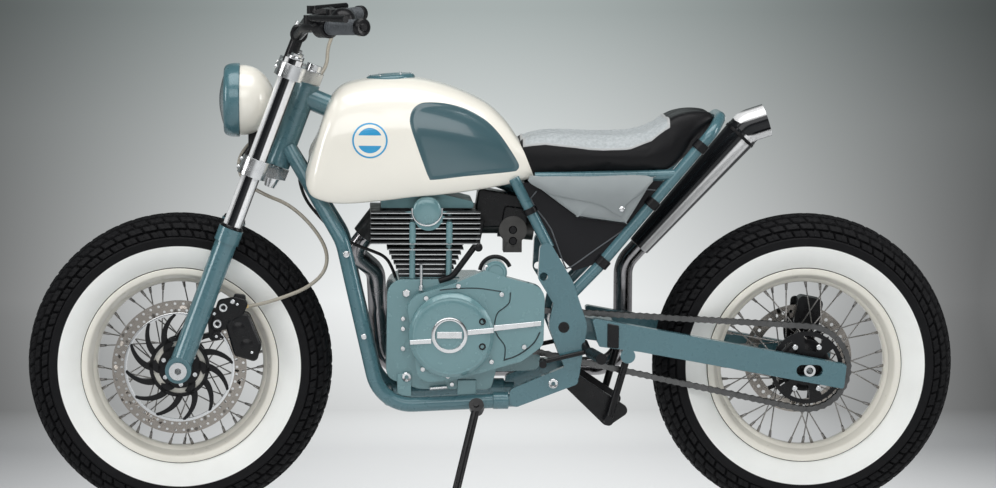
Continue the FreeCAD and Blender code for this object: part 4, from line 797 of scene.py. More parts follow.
class MOTO_OT_wheels(Operator):
    """Rims, spokes with their nipples, and hubs."""
    bl_idname = "moto.wheels"
    bl_label = "Rims, spokes and hubs"

    def execute(self, context):
        count = context.scene.moto_wheel.spokes
        for end, centre, body, left, right in (("front", FRONT, "front_wheel", -59.5, 66.0),
                                               ("rear", REAR, "rear_wheel", -76.5, 63.5)):
            lip = [(179, 0), (180, 8), (184, 15), (191, 22), (197, 33), (203, 37.5), (205, 40), (207.5, 38.5),
                   (211, 41), (212.5, 43), (211, 45), (205, 45), (199, 43), (195, 36), (190, 24), (187, 12),
                   (186.5, 0)]
            section = smooth_line(lip, 4)
            ring = np.concatenate([section, (section * [1, -1])[-2:0:-1]])
            piece(f"{end}_rim_skin", spun(ring, centre, Y, 160, closed=True), "rim", body, [f"{end}_rim"], 40)
            spokes, nipples = [], []
            for k in range(count):
                side = 1 if k % 2 else -1
                cross = math.radians(38) * (1 if k % 4 < 2 else -1)
                a0 = math.radians(k * 360 / count)
                a1 = a0 + cross
                start = centre + [52 * math.cos(a0), side * 36.5, 52 * math.sin(a0)]
                stop = centre + [179 * math.cos(a1), side * 6, 179 * math.sin(a1)]
                d = unit(stop - start)
                spokes.append(rod(start, stop, 1.45, None, 0.3, 8))
                nipples.append(rod(stop - d * 14, stop + d * 1.0, 2.6, 3.4, 0.6, 8))
            piece(f"{end}_spokes", spokes + nipples, "spoke", body, [f"{end}_hub"], 50)
            hub = [(13, left), (30, left), (33, left + 3), (34, -48), (52, -44), (57, -41), (57, -33),
                   (53, -31), (36, -27), (31, -18), (30, 0), (31, 18), (36, 27), (53, 31), (57, 33), (57, 41),
                   (52, 44), (34, 48), (33, right - 3), (30, right), (13, right)]
            piece(f"{end}_hub_shell", spun(hub, centre, Y, 72, closed=True), "black", body,
                  [f"{end}_hub"], 40)
        return {"FINISHED"}


def drilled_ring(r0, r1, y0, y1, n, hole_r, offset):
    """Ring of n cells, each a sector with a round hole: the cell's outer line of 16 points is joined to the
    hole's circle of 16 points, on both faces, with the hole's wall between."""
    m = 16
    q = np.arange(m) / m
    edge = q * 4
    u = np.select([edge < 1, edge < 2, edge < 3], [edge, np.ones(m), 3 - edge], 0 * edge)
    v = np.select([edge < 1, edge < 2, edge < 3], [0 * edge, edge - 1, np.ones(m)], 4 - edge)
    mid = (r0 + r1) / 2
    t0 = 2 * math.pi * (np.arange(n)[:, None] + offset) / n
    t = t0 + (u - 0.5)[None, :] * 2 * math.pi / n
    r = r0 + (r1 - r0) * v[None, :] + 0 * t
    outer = np.stack([r * np.cos(t), r * np.sin(t)], -1)
    a = np.arctan2(v - 0.5, u - 0.5)
    cx, cz = mid * np.cos(t0), mid * np.sin(t0)
    hx, hz = hole_r * np.cos(a)[None, :], hole_r * np.sin(a)[None, :]
    inner = np.stack([cx - hx * np.sin(t0) + hz * np.cos(t0), cz + hx * np.cos(t0) + hz * np.sin(t0)], -1)
    rows = [(outer, y0), (inner, y0), (inner, y1), (outer, y1)]
    points = np.stack([np.stack([p[..., 0], np.full(p.shape[:2], float(y)), p[..., 1]], -1)
                       for p, y in rows], 1)
    one = quads(4, m, wrap_u=True, wrap_v=True)
    faces = (one[None] + (np.arange(n) * 4 * m)[:, None, None]).reshape(-1, 4)
    return points.reshape(-1, 3), [faces]


def swept_arm(r0, r1, a0, a1, w0, w1, y0, y1, n=10):
    """Curved arm in the wheel's plane: its middle line is r = r0 + (r1 - r0) t at angle a0 + (a1 - a0) t^1.3,
    and its width goes from w0 to w1."""
    t = np.linspace(0, 1, n)
    r = r0 + (r1 - r0) * t
    a = a0 + (a1 - a0) * t ** 1.3
    w = w0 + (w1 - w0) * t
    line = np.stack([r * np.cos(a), r * np.sin(a)], -1)
    d = np.gradient(line, axis=0)
    d /= np.linalg.norm(d, axis=1)[:, None]
    side = np.stack([-d[:, 1], d[:, 0]], -1) * (w / 2)[:, None]
    outline = np.concatenate([line - side, (line + side)[::-1]])
    return slab(outline, y0, y1, 0.6)


FRONT_DISC_Y = -61.5


class MOTO_OT_brakes(Operator):
    """Drilled front disc on a swept carrier, rear disc, and both calipers."""
    bl_idname = "moto.brakes"
    bl_label = "Brakes"

    def execute(self, context):
        y = FRONT_DISC_Y
        rings = [drilled_ring(117 + 14 * k, 131 + 14 * k, y - 2.4, y + 2.4, 48, 3.1, 0.5 * k)
                 for k in range(2)]
        moved = [(v + FRONT, f) for v, f in rings]
        piece("front_disc_ring", moved, "disc", "front_wheel", ["front_disc"], 50)
        arms = [swept_arm(62, 116, math.radians(a), math.radians(a - 26), 15, 6.5, y - 3, y + 3)
                for a in range(0, 360, 30)]
        webs = [swept_arm(42, 60, math.radians(a + 8), math.radians(a - 12), 16, 18, y - 3, y + 3)
                for a in range(0, 360, 60)]
        rings = [spun([(r0, y - 3), (r1, y - 3), (r1, y + 3), (r0, y + 3)], FRONT, Y, 96, closed=True)
                 for r0, r1 in ((20, 46), (57, 65))]
        backing = spun([(44, y + 3.4), (58, y + 3.4), (58, y + 4.4), (44, y + 4.4)], FRONT, Y, 96,
                       closed=True)
        piece("front_disc_backing", backing, "rim", "front_wheel")
        core = spun([(13, y - 5.5), (26, y - 5.5), (28, y - 4), (28, y + 3), (13, y + 3)], FRONT, Y, 64,
                    closed=True)
        piece("front_disc_carrier", [(v + FRONT, f) for v, f in arms + webs] + rings + [core], "black",
              "front_wheel", ["front_disc"])
        inner = spun([(113, y - 2.6), (117.5, y - 3.2), (119, y - 2.4), (119, y + 2.4), (117.5, y + 3.2),
                      (113, y + 2.6)], FRONT, Y, 128, closed=True)
        piece("front_disc_band", inner, "silver", "front_wheel")
        screw = bolt(FRONT + [37, y - 3.5, 0], -Y, 5.5, 5)
        piece("front_disc_screws", copies(screw, np.radians(np.arange(0, 360, 60) + 25), FRONT, Y), "silver",
              "front_wheel")
        self.rear_disc()
        self.front_caliper()
        dressed("rear_caliper", "black", 2.0)
        return {"FINISHED"}

    def front_caliper(self):
        """Hanger on the slider's lugs, a long body either side of the disc with a bridge past its rim, two ring
        screws and the pins."""
        hanger = rounded([(82, 424, 13), (118, 432, 12), (136, 470, 12), (120, 476, 10), (95, 468, 13)])
        outline = rounded([(113, 424, 12), (128, 368, 11), (160, 358, 11), (166, 382, 11), (142, 438, 12)])
        bridge = rounded([(163, 366, 9), (168, 376, 9), (160, 400, 9), (150, 414, 9), (150, 398, 6)])
        forms = [slab(hanger, -93, -80, 2), slab(outline, -96, -68, 4), slab(outline, -55, -46, 3),
                 slab(bridge, -92, -48, 1),
                 slab(rounded([(122, 470, 9), (136, 474, 8), (138, 484, 6), (124, 486, 6)]), -90, -72, 2)]
        forms += [across(77, 452, -94, -82, 10), across(81, 402, -94, -82, 10),
                  slab(rounded([(70, 452, 9), (74, 400, 9), (90, 424, 8)]), -91, -84, 1)]
        forms += [spun([(0, 2), (9, 2), (11, 0.5), (13, 0.5), (15, -1), (15, -4), (0, -4)], [x, -96, z], -Y,
                       40) for x, z in ((128, 418), (146, 382))]
        piece("caliper_body", forms, "black", "steering", ["front_caliper"])
        rings = [spun([(4.2, 0.5), (6, 2.5), (8.6, 2.5), (10, 0.5), (10, -8), (4.2, -8)], [x, -95, z], -Y, 32,
                      closed=True) for x, z in ((96, 463), (83, 428))]
        pins = [rod([116, -96, 476], [116, -88, 476], 5, None, 1, 16),
                rod([126, -96, 470], [126, -88, 470], 3, None, 1, 16),
                rod([157, -98, 366], [157, -92, 366], 3, None, 1, 16), bolt([76.6, -94, 450], -Y, 3.5, 3),
                bolt([81, -94, 401], -Y, 3.5, 3)]
        piece("caliper_screws", rings + pins, "silver", "steering")
        copper = [rod([138, -81, 463], [150, -81, 465], 5, 4, 1, 16),
                  rod([136, -81, 472], [140, -81, 473], 6, None, 1, 16)]
        piece("caliper_fitting", copper, "brass", "steering")

    def rear_disc(self):
        """Drilled ring on a thin six-armed carrier."""
        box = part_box("rear_disc")
        y = float(upright((np.array(box[0]) + np.array(box[1])) / 2)[1])
        verts, faces = drilled_ring(92, 120, y - 2, y + 2, 40, 4.0, 0)
        piece("rear_disc_ring", (verts + REAR, faces), "disc", "rear_wheel", ["rear_disc"], 50)
        arms = [swept_arm(40, 93, math.radians(a), math.radians(a - 14), 13, 8, y - 2.5, y + 2.5)
                for a in range(0, 360, 60)]
        core = spun([(15, y - 4), (44, y - 3), (44, y + 3), (15, y + 4)], REAR, Y, 64, closed=True)
        piece("rear_disc_carrier", [(v + REAR, f) for v, f in arms] + [core], "black", "rear_wheel",
              ["rear_disc"])


# Fork, bars and lamp

FORK_Y = 95
TUBE_R = 20.5


def leg(height, side):
    """Point on a fork leg's axis, height above the front axle along it."""
    return FRONT + LEG * height + Y * side * FORK_Y


def stem(height):
    """Point on the steering axis."""
    return STEM + LEG * height


class MOTO_OT_fork(Operator):
    """Fork tubes, sliders with their collars and clamps, and both yokes."""
    bl_idname = "moto.fork"
    bl_label = "Fork and yokes"

    def execute(self, context):
        # Fork tubes in chrome drawn as painted reflection: dark, with two painted highlight stripes
        dressed("fork_tubes", "megaphone", 0, masks={"painted_reflection": self.painted_reflection})
        dressed("fork_sliders", "teal", 1.5)
        dressed("top_yoke", "silver", 2.0)
        dressed("lower_yoke", "silver", 2.0)
        caps = [rod(leg(712, s), leg(719, s), 17, None, 1.5, 24) for s in (-1, 1)]
        caps += [nut(leg(719, s), LEG, 11, 7) for s in (-1, 1)]
        piece("fork_caps", caps, "silver", "steering")
        collars = [rod(leg(325, s), leg(332, s), 25, 23.5, 1, 36) for s in (-1, 1)]
        piece("fork_seals", collars, "black", "steering")
        screws = [bolt(leg(h, s) - ACROSS * 31, -ACROSS, 4.5, 4) for h in (456, 474, 685) for s in (-1, 1)]
        screws += [bolt(FRONT + LEG * 12 - Y * 117, -Y, 5, 5), bolt(FRONT - LEG * 12 - Y * 117, -Y, 5, 5)]
        piece("fork_screws", screws, "silver", "steering")
        axle = [spun([(7.6, -131), (15, -131), (19, -128), (19, -121), (7.6, -121)], FRONT, Y, 6,
                     closed=True)]
        piece("front_axle_nut", axle, "silver", "steering", angle=30)
        paint_node("front_axle", "silver")
        return {"FINISHED"}

    def painted_reflection(self, p):
        """Depth inside two painted highlight stripes along each fork tube, from the share of its radius that a
        point lies off the leg's axis."""
        off = (p - FRONT) @ ACROSS / TUBE_R
        return np.maximum(0.2 - np.abs(off + 0.85), 0.3 - np.abs(off - 0.55)) * 7


BAR_FOOT = stem(698) - ACROSS * 56
BAR_C = BAR_FOOT + LEG * 66
BAR_DIR = unit([76, -115, 5])
GRIP_START = BAR_C + [66, -288, 24]
GRIP_END = GRIP_START + BAR_DIR * 122


class MOTO_OT_bars(Operator):
    """Handlebar on its risers, ribbed grips and the levers."""
    bl_idname = "moto.bars"
    bl_label = "Handlebar"

    def execute(self, context):
        route = [BAR_C, BAR_C - Y * 110, GRIP_START - BAR_DIR * 90, GRIP_END - BAR_DIR]
        bars = tube(bent_line(route, 60), 11)
        risers = [rod(BAR_FOOT - Y * 46 + LEG * 0.3, BAR_C - Y * 46, 14, 13, 1.5),
                  rod(BAR_C - Y * 58, BAR_C - Y * 34, 19, None, 2)]
        clamp_screws = [bolt(BAR_C - Y * y + LEG * 17 + ACROSS * k, LEG, 4, 4) for y in (40, 52)
                        for k in (-12, 12)]
        piece("handlebar_tube", both(bars, *risers), "black", "steering", ["handlebar"])
        piece("riser_screws", both(*clamp_screws), "silver", "steering")
        h = np.linspace(0, 122, 180)
        wave = 15.2 + 1.1 * np.clip(np.sin(h * 2 * math.pi / 6.1) * 3, -1, 1)
        wave[(h < 9) | (h > 113)] = 16.4
        profile = np.concatenate([[(0, 0), (14, 0)], np.stack([wave, np.clip(h, 0.8, 121.2)], -1),
                                  [(14, 122), (0, 122)]])
        grip = spun(profile, GRIP_START, BAR_DIR, 40)
        piece("grip_sleeves", both(grip), "grip", "steering", ["grips"], 50)
        knob = [(0, 9), (7, 9), (9, 6), (15, 7), (18.5, 4), (18.5, -7), (16, -9), (0, -9)]
        flange = [(11, 5), (20, 5), (23, 2), (23, -3), (20, -6), (11, -6)]
        ends = [spun(knob, GRIP_END, BAR_DIR, 40), spun(flange, GRIP_START, BAR_DIR, 40, closed=True)]
        piece("grip_collars", both(*ends), "black", "steering")
        dome = smooth_line([(26, -6), (26, 2), (24, 12), (17, 20), (8, 24.5), (0, 26)], 5)
        piece("perch_cap", spun(np.concatenate([dome, [(0, -6)]]), GRIP_START + [28, 30, 14], Z, 48), "black",
              "steering", angle=50)
        dressed("control_levers", "black", 0.8)
        return {"FINISHED"}


LAMP = FRONT + LEG * (465 + 220 * 0.672) - X * 84


class MOTO_OT_lamp(Operator):
    """Headlamp: painted bowl, rim ring, ribbed lens and its stay."""
    bl_idname = "moto.lamp"
    bl_label = "Headlamp"

    def execute(self, context):
        bowl = smooth_line([(76, 0.3), (76, 8), (74.5, 18), (70, 32), (61, 46), (47, 59), (29, 69),
                            (12, 73.5), (0, 74.2)], 6)
        piece("lamp_bowl", spun(np.concatenate([[(0, 0.3)], bowl]), LAMP, X, 120), "cream", "steering",
              ["headlamp_shell"], 50)
        ring = smooth_line([(74, -0.2), (78.5, -0.4), (80, -3), (80, -12), (78.5, -22), (75, -30), (70, -34),
                            (66, -34.5), (64, -32)], 5)
        piece("lamp_rim", spun(np.concatenate([ring, [(64, -20), (0, -20), (0, -0.2)]]), LAMP, X, 120),
              "teal", "steering", ["headlamp_rim"], 45)
        r = np.linspace(0, 66, 40)
        lens = np.stack([r, -31 - 14 * (1 - (r / 66) ** 2) + 0.35 * np.cos(r * 1.9)], -1)
        piece("lamp_lens", spun(np.concatenate([lens, [(66, -28), (0, -28)]]), LAMP, X, 96), "glass",
              "steering", ["headlamp_rim"], 60)
        dressed("headlamp_stay", "black", 0.8)
        return {"FINISHED"}


# Tank

TANK_RINGS = np.array([
    (303, 850, 272, 752, 80), (322, 905, 275, 722, 102), (350, 938, 292, 700, 117), (396, 952, 345, 688, 126),
    (456, 958, 431, 694, 130), (514, 955, 505, 703, 130), (568, 943, 564, 708, 128), (619, 924, 620, 715, 124),
    (666, 899, 672, 723, 117), (702, 866, 718, 732, 108), (731, 826, 764, 743, 96)], float)
TANK_SIDE = np.array([(0, 1.0), (0.42, 0.978), (0.76, 0.87), (0.955, 0.65), (1.0, 0.40), (0.985, 0.16),
                      (0.90, 0.02), (0.74, 0.0)])
KNEE = [(495, 874), (502, 893), (520, 905), (550, 906.5), (580, 903), (612, 894), (644, 878), (667, 861),
        (690, 836), (712, 804), (726, 781), (730, 770), (726, 762), (712, 758), (618, 750), (546, 742),
        (536, 747), (524, 777), (508, 822), (497, 855)]


BADGE_X, BADGE_Z, BADGE_R = 410, 826, 38


def inside_distance(p):
    """Signed distance to the knee panel's outline, seen from the side."""
    return polygon_distance(p[:, [0, 2]], smooth_line(KNEE, 4, closed=True))


class MOTO_OT_tank(Operator):
    """Fuel tank: smooth skin through its sections with dished knee panels, cap and plain badge."""
    bl_idname = "moto.tank"
    bl_label = "Fuel tank"

    def execute(self, context):
        rings = smooth_line(TANK_RINGS, 14)
        x_top, z_top, x_low, z_low, half_y = TANK_RINGS[0]
        mid_x, mid_z, bulge = (x_top + x_low) / 2, (z_top + z_low) / 2, 9
        nose = np.array([[mid_x + (x_top - mid_x) * q - bulge * (1 - q) ** 2, mid_z + (z_top - mid_z) * q,
                          mid_x + (x_low - mid_x) * q - bulge * (1 - q) ** 2, mid_z + (z_low - mid_z) * q,
                          half_y * q] for q in np.sin(np.linspace(0.15, math.pi / 2, 9))[:-1]])
        rings = np.concatenate([nose, rings])
        side = smooth_line(TANK_SIDE, 12)
        loop = np.concatenate([side, (side * [-1, 1])[::-1]])
        points = skinned(rings, loop)
        dish = 2.2 * step_up(inside_distance(points.reshape(-1, 3)).reshape(points.shape[:2]), 0, 9)
        points[..., 1] -= np.sign(points[..., 1]) * dish * step_up(np.abs(loop[None, :, 0]), 0.4, 0.8)
        piece("tank_skin", grid(points, wrap_v=True, caps=True), "tank", "chassis", ["fuel_tank"], 60,
              masks={"knee": inside_distance})
        tilt, foot = unit([-0.07, 0, 1]), np.array([455, 0, 954.0])
        cap = spun([(0, 9), (20, 9), (23, 7.5), (40, 7.5), (46, 6.5), (51, 4), (53, 0), (53, -6), (0, -6)],
                   foot, tilt, 72)
        vent = copies(bolt(foot + [44, 0, 9.6], tilt, 2.6, 2), np.radians(np.arange(0, 360, 60)), foot, tilt)
        piece("tank_cap", [cap], "teal", "chassis", ["fuel_cap"])
        piece("tank_cap_screws", vent, "silver", "chassis")
        r, t = np.linspace(0, BADGE_R, 39)[:, None], 2 * math.pi * np.arange(96)[None, :] / 96
        x, z = BADGE_X + r * np.cos(t), BADGE_Z + r * np.sin(t)
        disc = np.stack([x, laid_on(x, z, points.reshape(-1, 3)) - 0.7 * step_up(BADGE_R - r, 0, 1.5), z], -1)
        piece("tank_badge", both(grid(disc, wrap_v=True)), "badge", "chassis", angle=60,
              masks={"blue": badge_distance})
        return {"FINISHED"}


def laid_on(x, z, skin):
    """Left-hand y of a skin at (x, z): the mean of its four nearest points in side view, weighted by one over
    distance squared."""
    left = skin[skin[:, 1] < -60]
    d = (left[None, :, 0] - x.reshape(-1, 1)) ** 2 + (left[None, :, 2] - z.reshape(-1, 1)) ** 2
    near = np.argpartition(d, 4, axis=1)[:, :4]
    w = 1 / (np.take_along_axis(d, near, 1) + 0.01)
    return ((left[near, 1] * w).sum(1) / w.sum(1)).reshape(x.shape)


def badge_distance(p):
    """Plain badge: a ring at the edge and a filled segment above and below a bare middle band."""
    r = np.hypot(p[:, 0] - BADGE_X, p[:, 2] - BADGE_Z)
    rise = np.abs(p[:, 2] - BADGE_Z)
    return np.maximum(1.9 - np.abs(r - 36), np.minimum(27 - r, rise - 11))


# Seat and bag

SEAT_RINGS = np.array([
    (727, 818, 738, 760, 84), (740, 828, 744, 747, 96), (786, 836, 788, 746, 108), (850, 835, 850, 752, 117),
    (910, 832, 910, 757, 120), (970, 834, 968, 758, 120), (1015, 845, 1012, 759, 117),
    (1045, 866, 1048, 761, 112), (1072, 881, 1078, 782, 106), (1106, 889, 1112, 821, 93),
    (1140, 889, 1146, 857, 73), (1152, 882, 1156, 868, 60)], float)
SEAT_SIDE = np.array([(0, 0.93), (0.35, 0.95), (0.68, 1.0), (0.86, 0.94), (0.97, 0.70), (1.0, 0.42),
                      (0.97, 0.14), (0.90, 0.0)])


PIPING = 2.2


def seat_top(p):
    """Distance in millimetres to the sewn edge of the silver top, positive on it."""
    crest = np.interp(p[:, 0], SEAT_RINGS[:, 0], SEAT_RINGS[:, 1])
    ends = np.minimum(p[:, 0] - 742, 1052 - p[:, 0]) * 0.8
    return np.minimum(ends, p[:, 2] - crest + np.interp(p[:, 0], [760, 880, 960, 1030], [17, 26, 26, 17]))


class MOTO_OT_seat(Operator):
    """Padded seat blown up by a short cloth run, with a quilted top and piping."""
    bl_idname = "moto.seat"
    bl_label = "Seat"

    def execute(self, context):
        s = context.scene.moto_seat
        rings = smooth_line(SEAT_RINGS, 8)
        side = smooth_line(SEAT_SIDE, 8)
        loop = np.concatenate([side, (side * [-1, 1])[::-1][:-1]])
        pad = grid(skinned(rings, loop, shrink=3.0), wrap_v=True, caps=True)
        obj = piece("seat_pad", pad, "seat", "chassis", ["seat"], 80)
        soften(context, obj, 0.005, 4.0, 7.0)
        mesh = obj.data
        p = upright(points_of(mesh))
        top = seat_top(p)
        a = (p[:, 0] + p[:, 1]) / s.quilt_pitch
        b = (p[:, 0] - p[:, 1]) / s.quilt_pitch
        seam = np.minimum(np.abs(a - np.round(a)), np.abs(b - np.round(b))) * s.quilt_pitch
        p[:, 2] -= s.quilt_depth * np.exp(-(seam / 2.0) ** 2) * step_up(top, 2, 8)
        p[:, 2] += PIPING * np.exp(-(top / PIPING) ** 2)
        mesh.vertices.foreach_set("co", parked(p).ravel())
        keep_mask(mesh, "top", top)
        keep_mask(mesh, "piping", PIPING - np.abs(top))
        mesh.update()
        return {"FINISHED"}


CLOTH_FRAMES = 12


def soften(context, obj, voxel, pressure, cap):
    """Remesh to even voxels, swell under pressure for a short cloth run, keep each point within
    cap millimetres of where it was, and divide the mesh once."""
    remesh = obj.modifiers.new("even", "REMESH")
    remesh.mode = "VOXEL"
    remesh.voxel_size = voxel
    apply_modifiers(context, obj)
    start = points_of(obj.data)
    cloth = obj.modifiers.new("swell", "CLOTH")
    cloth.settings.use_pressure = True
    cloth.settings.uniform_pressure_force = pressure
    cloth.settings.effector_weights.gravity = 0
    cloth.settings.quality = 4
    for f in range(1, CLOTH_FRAMES + 1):
        context.scene.frame_set(f)
    apply_modifiers(context, obj)
    context.scene.frame_set(1)
    step = points_of(obj.data) - start
    length = np.linalg.norm(step, axis=1)[:, None]
    kept = start + step * np.minimum(1, cap / 1000 / np.maximum(length, 1e-9))
    obj.data.vertices.foreach_set("co", kept.ravel())
    obj.data.update()
    obj.modifiers.new("fine", "SUBSURF").levels = 1
    apply_modifiers(context, obj)
    obj.data.shade_smooth()


def apply_modifiers(context, obj):
    """The object's mesh as its modifiers leave it."""
    graph = context.evaluated_depsgraph_get()
    mesh = bpy.data.meshes.new_from_object(obj.evaluated_get(graph), preserve_all_data_layers=True,
                                           depsgraph=graph)
    obj.modifiers.clear()
    mats = list(obj.data.materials)
    obj.data = mesh
    mesh.materials.clear()
    for m in mats:
        mesh.materials.append(m)


BAG = [(752, 744), (800, 747), (900, 748), (1012, 748), (1016, 742), (964, 655), (955, 650), (858, 664),
       (850, 667)]


class MOTO_OT_bag(Operator):
    """Leather side bag with a folded flap and a stud."""
    bl_idname = "moto.bag"
    bl_label = "Side bag"

    def execute(self, context):
        line = smooth_line(BAG, 6, closed=True)
        centre = line.mean(0)
        k = np.concatenate([[1.0], np.cos(np.linspace(0.12, math.pi / 2, 12))])
        rise = np.concatenate([[0.0], np.sin(np.linspace(0.12, math.pi / 2, 12)) ** 0.55])
        layers = []
        for q, h in zip(k, rise):
            flat = centre + (line - centre) * q
            layers.append(np.stack([flat[:, 0], np.full(len(line), -113.2 - 12.5 * h), flat[:, 1]], -1))
        pouch = grid(np.array(layers), wrap_v=True, caps=True)
        piece("bag_pouch", pouch, "bag", "chassis", ["side_bag"], 60)
        flap = [(750, 746), (880, 750), (1016, 748), (960, 690), (952, 668), (938, 668), (900, 690),
                (800, 712)]
        shell = slab(smooth_line(flap, 5, closed=True), -127.6, -125.2, 0.7)
        piece("bag_flap", shell, "bag", "chassis", angle=50)
        stud = spun([(0, 4.5), (4, 4), (6.5, 2), (7, 0), (0, 0)], [950, -127.4, 680], -Y, 24)
        piece("bag_stud", stud, "silver", "chassis", angle=60)
        return {"FINISHED"}


# Frame

CRADLE = [stem(521) + [10, -18, 0], [352, -90, 606], [434, -100, 250], [702, -100, 262]]
LOOP = [[842, -100, 490], [902, -100, 552], [1148, -100, 846], [1168, -48, 872], [1168, 0, 872]]


class MOTO_OT_frame(Operator):
    """Cradle, backbone, subframe with clamps, pivot plates and swing arm."""
    bl_idname = "moto.frame"
    bl_label = "Frame"

    def execute(self, context):
        rail = np.array([702, -100, 262.0])
        cradle = both(tube(bent_line(CRADLE, 84), 16), rod(rail - X * 26, rail + X * 8, 19, None, 1.5))
        cradle += [across(452, 262, -100, 100, 12)]
        piece("cradle_tubes", cradle, "teal", "chassis", ["frame_cradle"])
        piece("rail_plugs", both(rod(rail + X * 8, rail + X * 30, 14, None, 2)), "black", "chassis")
        studs = [bolt([360, -114.5, 581], -Y, 7, 4), bolt([398, -114.5, 403], -Y, 6, 4),
                 rod(rail + X * 32 + Z * 4, rail + X * 66 + Z * 22, 6, None, 1.5, 20)]
        piece("rail_screws", studs, "silver", "chassis")
        bone_start, bone_end = stem(640), np.array([738, 0, 720.0])
        head = spun([(14, 479), (26, 479), (26.3, 482), (26.3, 492), (25.6, 494), (25.6, 655), (26.3, 657),
                     (26.3, 667), (26, 670), (14, 670)], STEM, LEG, 48, closed=True)
        piece("spine_tubes", [head, rod(bone_start, bone_end, 24), across(738, 720, -100, 100, 12)], "teal",
              "chassis", ["frame_spine"])
        loop = tube(bent_line(LOOP, 40), 12.5)
        rear = both(loop, rod([719, -100, 744], [796, -100, 594], 12),
                    rod([764, -100, 745.3], [1066, -100, 752], 11.5))
        piece("subframe_tubes", rear, "teal", "chassis", ["subframe"])
        start = np.array(LOOP[1], float)
        d = unit(np.array(LOOP[2], float) - start)
        clamps = [rod(start + d * k, start + d * (k + 20), 16.5, None, 1.5) for k in (4, 170, 330)]
        clamps += [rod([752, -100, 680], [758, -100, 668], 15.5, None, 1)]
        piece("loop_clamps", both(*clamps), "black", "chassis")
        dressed("pivot_plates", "teal", 2.2)
        dressed("swingarm", "teal", 1.6)
        guard = slab(rounded([(924, 384, 3), (943, 382, 3), (943, 426, 3), (924, 430, 3)]), -131.5,
                     -102.5, 1.5)
        piece("arm_guard", both(guard), "black", "chassis")
        paint_node("swingarm_pin", "black")
        dressed("suspension_link", "black", 1.0)
        paint_node("rear_axle", "silver")
        dressed("side_panels", "panel", 0.8)
        edge = [(768, 716), (800, 634), (829, 557), (838, 551), (850, 557), (900, 593), (955, 632),
                (1000, 668), (1030, 718)]
        border = tube(np.insert(smooth_line(edge, 4, closed=True), 1, -103.2, axis=1), 1.6, 8, caps=False)
        piece("panel_border", both(border), "grip", "chassis", angle=60)
        return {"FINISHED"}


# Engine

FIN_PITCH = 11
BARREL_X = 530


def fin_bands(z_top, count, half_x, half_y, taper, height=1.7):
    """Bright edge of each square fin, one every FIN_PITCH down from z_top: the fin's outline, 0.4 mm proud."""
    out = []
    t = np.radians(np.arange(0, 360, 15) + 7.5)
    for i in range(count):
        hx, hy, r = half_x * (1 - taper * i) + 0.4, half_y * (1 - taper * i) + 0.4, 2.0
        edge = np.stack([np.sign(np.cos(t)) * (hx - r) + r * np.cos(t),
                         np.sign(np.sin(t)) * (hy - r) + r * np.sin(t)], -1)
        inner = edge * [1 - 3 / hx, 1 - 3 / hy]
        z = z_top - FIN_PITCH * (i + 0.75)
        rows = [(inner, z - height / 2), (edge, z - height / 2), (edge, z + height / 2),
                (inner, z + height / 2)]
        points = np.array([np.stack([BARREL_X + e[:, 0], e[:, 1], np.full(len(t), h)], -1) for e, h in rows])
        out.append(grid(points, wrap_u=True, wrap_v=True))
    return out


def head_cover(p):
    """Painted part of the head: all above the fins, and the round boss on the left side."""
    boss = np.minimum(32 - np.hypot(p[:, 0] - 536, p[:, 2] - 662), -99.0 - p[:, 1])
    return np.maximum(p[:, 2] - 677, boss)


